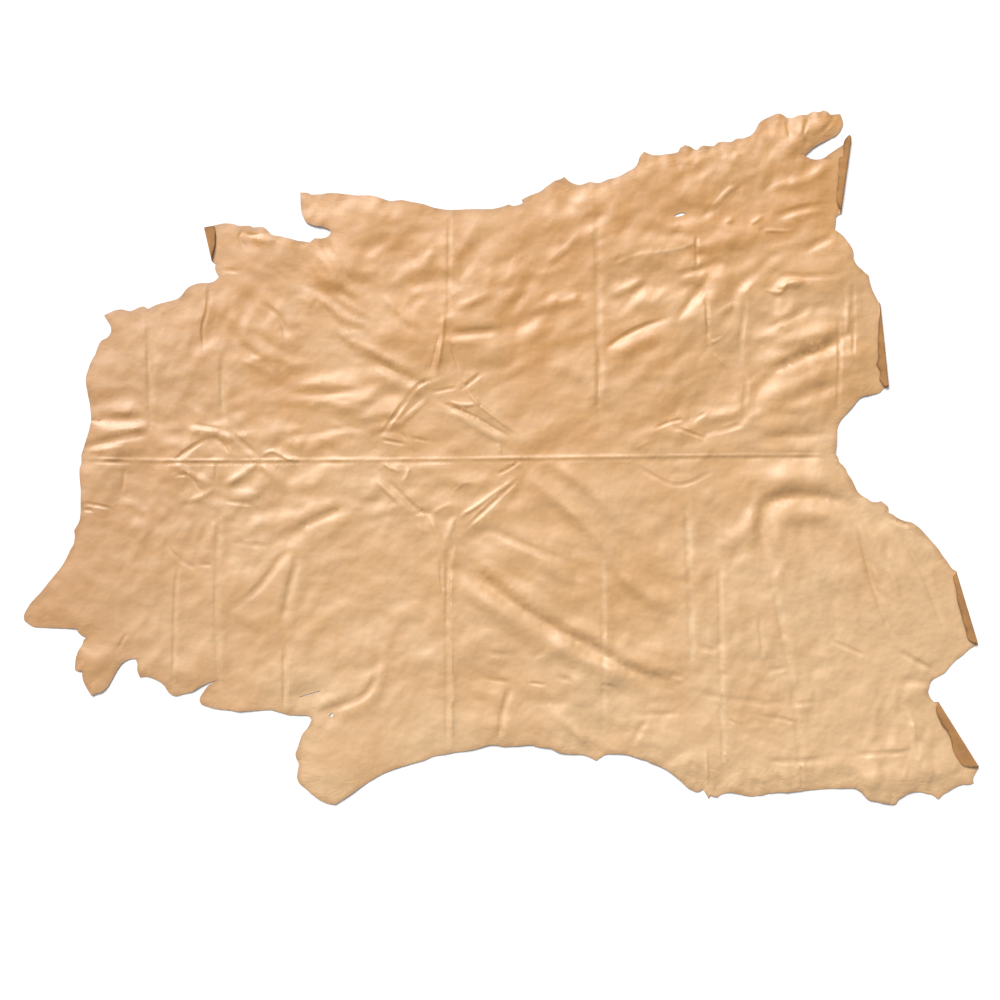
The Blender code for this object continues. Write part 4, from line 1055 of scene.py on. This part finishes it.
def grainMaterial(groups):
    material, tree, shader = newMaterial("grainSide")

    def use(name, **inputs):
        return shaderNode(tree, "ShaderNodeGroup", {"node_tree": groups[name]}, **inputs)

    place = placeOn(tree)
    gap = maskOf(tree, "edgeGap")
    wrinkled = maskOf(tree, "wrinkled")
    clouds = use("clouds", Place=place, Size=finish["cloudSize"])["Mask"]
    patches = use("clouds", Place=place, Size=finish["patchSize"])["Mask"]
    streaks = use("streaks", Place=place, Size=finish["streakSize"])["Mask"]
    # gold to pale: partly the leather's own tone, partly painted light, lighter towards the lower tailward
    # side
    toneAndLight = use("toneAndLight", Place=place, Gold=finish["gold"], Pale=finish["pale"], Neck=finish["neck"],
               Clouds=clouds)["Color"]
    patchy = rangeNode(tree, i0=patches, i3=0.10, i4=0.0)
    toned = blendNode(tree, i0=patchy[0], i6=toneAndLight, i7=finish["deep"])[2]
    # paler along the fold lines: a painted highlight on the crease lines, partly finish rubbed off there
    highlightAndWearMask = maskOf(tree, "worn")
    broken = rangeNode(tree, i0=patches, i1=0.25, i2=0.9, i3=0.1, i4=0.7)
    rubbedAndHighlit = mathNode(tree, "MULTIPLY", clamp=True, i0=highlightAndWearMask, i1=broken[0])
    paled = blendNode(tree, i0=rubbedAndHighlit[0], i6=toned, i7=finish["worn"])[2]
    # darker towards the cut edge: partly wear, partly painted shade
    worn = use("edge", Color=paled, Worn=finish["deep"], Gap=gap, Reach=finish["edgeReach"],
               Uneven=patches)["Color"]
    tree.links.new(worn, shader.inputs["Base Color"])

    rough = rangeNode(tree, i0=streaks, i3=finish["roughness"] - 0.05, i4=finish["roughness"] + 0.07)
    tree.links.new(rough[0], shader.inputs["Roughness"])
    constants = {"Metallic": "pearl", "Specular IOR Level": "shine", "Coat Weight": "coat",
                 "Coat Roughness": "coatRoughness", "Coat IOR": "coatIor"}
    for socket, key in constants.items():
        shader.inputs[socket].default_value = finish[key]

    pebbles = use("pebbles", Place=place, Size=finish["pebbleSize"], Depth=finish["pebbleHeight"])["Height"]
    amount = mathNode(tree, "ADD", i0=wrinkled, i1=finish["wrinkleLeast"])
    wrinkles = use("wrinkles", Place=place, Size=finish["wrinkleSize"], Depth=finish["wrinkleHeight"],
                   Amount=amount[0])["Height"]
    height = mathNode(tree, "ADD", i0=pebbles, i1=wrinkles)
    dimples = use("clouds", Place=place, Size=finish["dimpleSize"], Detail=1.5)["Mask"]
    dimpled = mathNode(tree, "MULTIPLY_ADD", i0=dimples, i1=finish["dimpleHeight"], i2=height[0])
    lined = mathNode(tree, "MULTIPLY_ADD", i0=streaks, i1=finish["streakHeight"], i2=dimpled[0])
    bump = shaderNode(tree, "ShaderNodeBump", {}, Strength=1.0, Distance=0.001, Height=lined[0])
    tree.links.new(bump[0], shader.inputs["Normal"])
    return material


def fleshMaterial(groups):
    material, tree, shader = newMaterial("fleshSide")

    def use(name, **inputs):
        return shaderNode(tree, "ShaderNodeGroup", {"node_tree": groups[name]}, **inputs)

    place = placeOn(tree)
    fibres = use("fibres", Place=place, Size=finish["fibreSize"])["Mask"]
    patches = use("clouds", Place=place, Size=finish["fleshPatchSize"])["Mask"]
    both = mathNode(tree, "MULTIPLY", clamp=True, i0=fibres, i1=patches)
    mixed = blendNode(tree, i0=both[0], i6=finish["flesh"], i7=finish["fleshDark"])[2]
    gap = maskOf(tree, "edgeGap")
    # darker towards the cut edge: partly the dark cut edge, partly painted shade under a turned strip's
    # free edge
    edged = use("edge", Color=mixed, Worn=finish["edge"], Gap=gap, Reach=finish["fleshEdgeReach"],
                Uneven=patches)["Color"]
    tree.links.new(edged, shader.inputs["Base Color"])
    shader.inputs["Roughness"].default_value = finish["fleshRoughness"]
    shader.inputs["Specular IOR Level"].default_value = 0.2
    bump = shaderNode(tree, "ShaderNodeBump", {}, Strength=0.5, Distance=0.0006, Height=fibres)
    tree.links.new(bump[0], shader.inputs["Normal"])
    return material


def edgeMaterial(groups):
    material, tree, shader = newMaterial("cutEdge")
    fibres = shaderNode(tree, "ShaderNodeGroup", {"node_tree": groups["fibres"]},
                        Place=placeOn(tree), Size=finish["edgeFibreSize"])["Mask"]
    mixed = blendNode(tree, i0=fibres, i6=finish["edge"], i7=finish["fleshDark"])[2]
    tree.links.new(mixed, shader.inputs["Base Color"])
    shader.inputs["Roughness"].default_value = 0.85
    return material


def floorMaterial(colour):
    material, tree, shader = newMaterial("paleFloor")
    shader.inputs["Base Color"].default_value = colour
    shader.inputs["Roughness"].default_value = 0.9
    shader.inputs["Specular IOR Level"].default_value = 0.1
    return material


hide = makeHide()
groups = {"clouds": makeCloudsGroup(), "pebbles": makePebblesGroup(), "wrinkles": makeWrinklesGroup(),
          "streaks": makeStreaksGroup(), "edge": makeEdgeGroup(), "toneAndLight": makeToneAndLightGroup(),
          "fibres": makeFibresGroup()}
for material in (grainMaterial(groups), fleshMaterial(groups), edgeMaterial(groups)):
    hide.data.materials.append(material)
print("stage: materials made")
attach(hide, "root")
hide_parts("hide")
print("stage: hide made,", len(hide.data.polygons), "faces")

studio = {
    "floorSize": 14.0,
    "floorDepth": 0.0003,
    "floorColour": (0.93, 0.93, 0.94, 1),
    "viewHeight": 3.472,
    "viewMiddle": (-3.05 * mm, -106.0 * mm),
    "lens": 50.0,
    "keyAround": 115.0,          # degrees round from the tail
    "keyAbove": 42.0,
    "keyBreadth": 34.0,
    "keyPower": 4.2,
    "roomLight": 0.37,
    "roomColour": (1.0, 0.97, 0.93, 1),
}


def makeStudio():
    bpy.ops.object.select_all(action="DESELECT")
    bpy.ops.mesh.primitive_plane_add(size=studio["floorSize"], location=(0, 0, -studio["floorDepth"]))
    floor = bpy.context.object
    floor.name = "floor"
    floor.data.materials.append(floorMaterial(studio["floorColour"]))

    # one broad soft light, far off beyond the upper flank
    around, above = math.radians(studio["keyAround"]), math.radians(studio["keyAbove"])
    level = math.cos(above)
    towards = Vector((math.cos(around) * level, math.sin(around) * level, math.sin(above)))
    bpy.ops.object.light_add(type="SUN", location=towards * 5)
    key = bpy.context.object
    key.name = "softKey"
    key.data.angle = math.radians(studio["keyBreadth"])
    key.data.energy = studio["keyPower"]
    key.rotation_euler = (-towards).to_track_quat("-Z", "Y").to_euler()

    world = bpy.data.worlds.new("room")
    world.use_nodes = True
    world.node_tree.nodes["Background"].inputs["Color"].default_value = studio["roomColour"]
    world.node_tree.nodes["Background"].inputs["Strength"].default_value = studio["roomLight"]
    bpy.context.scene.world = world
    bpy.context.scene.view_settings.view_transform = "Standard"

    x, y = studio["viewMiddle"]
    bpy.ops.object.camera_add(location=(x, y, studio["viewHeight"]), rotation=(0, 0, 0))
    camera = bpy.context.object
    camera.data.lens = studio["lens"]
    bpy.context.scene.camera = camera


makeStudio()
print("stage: studio ready")
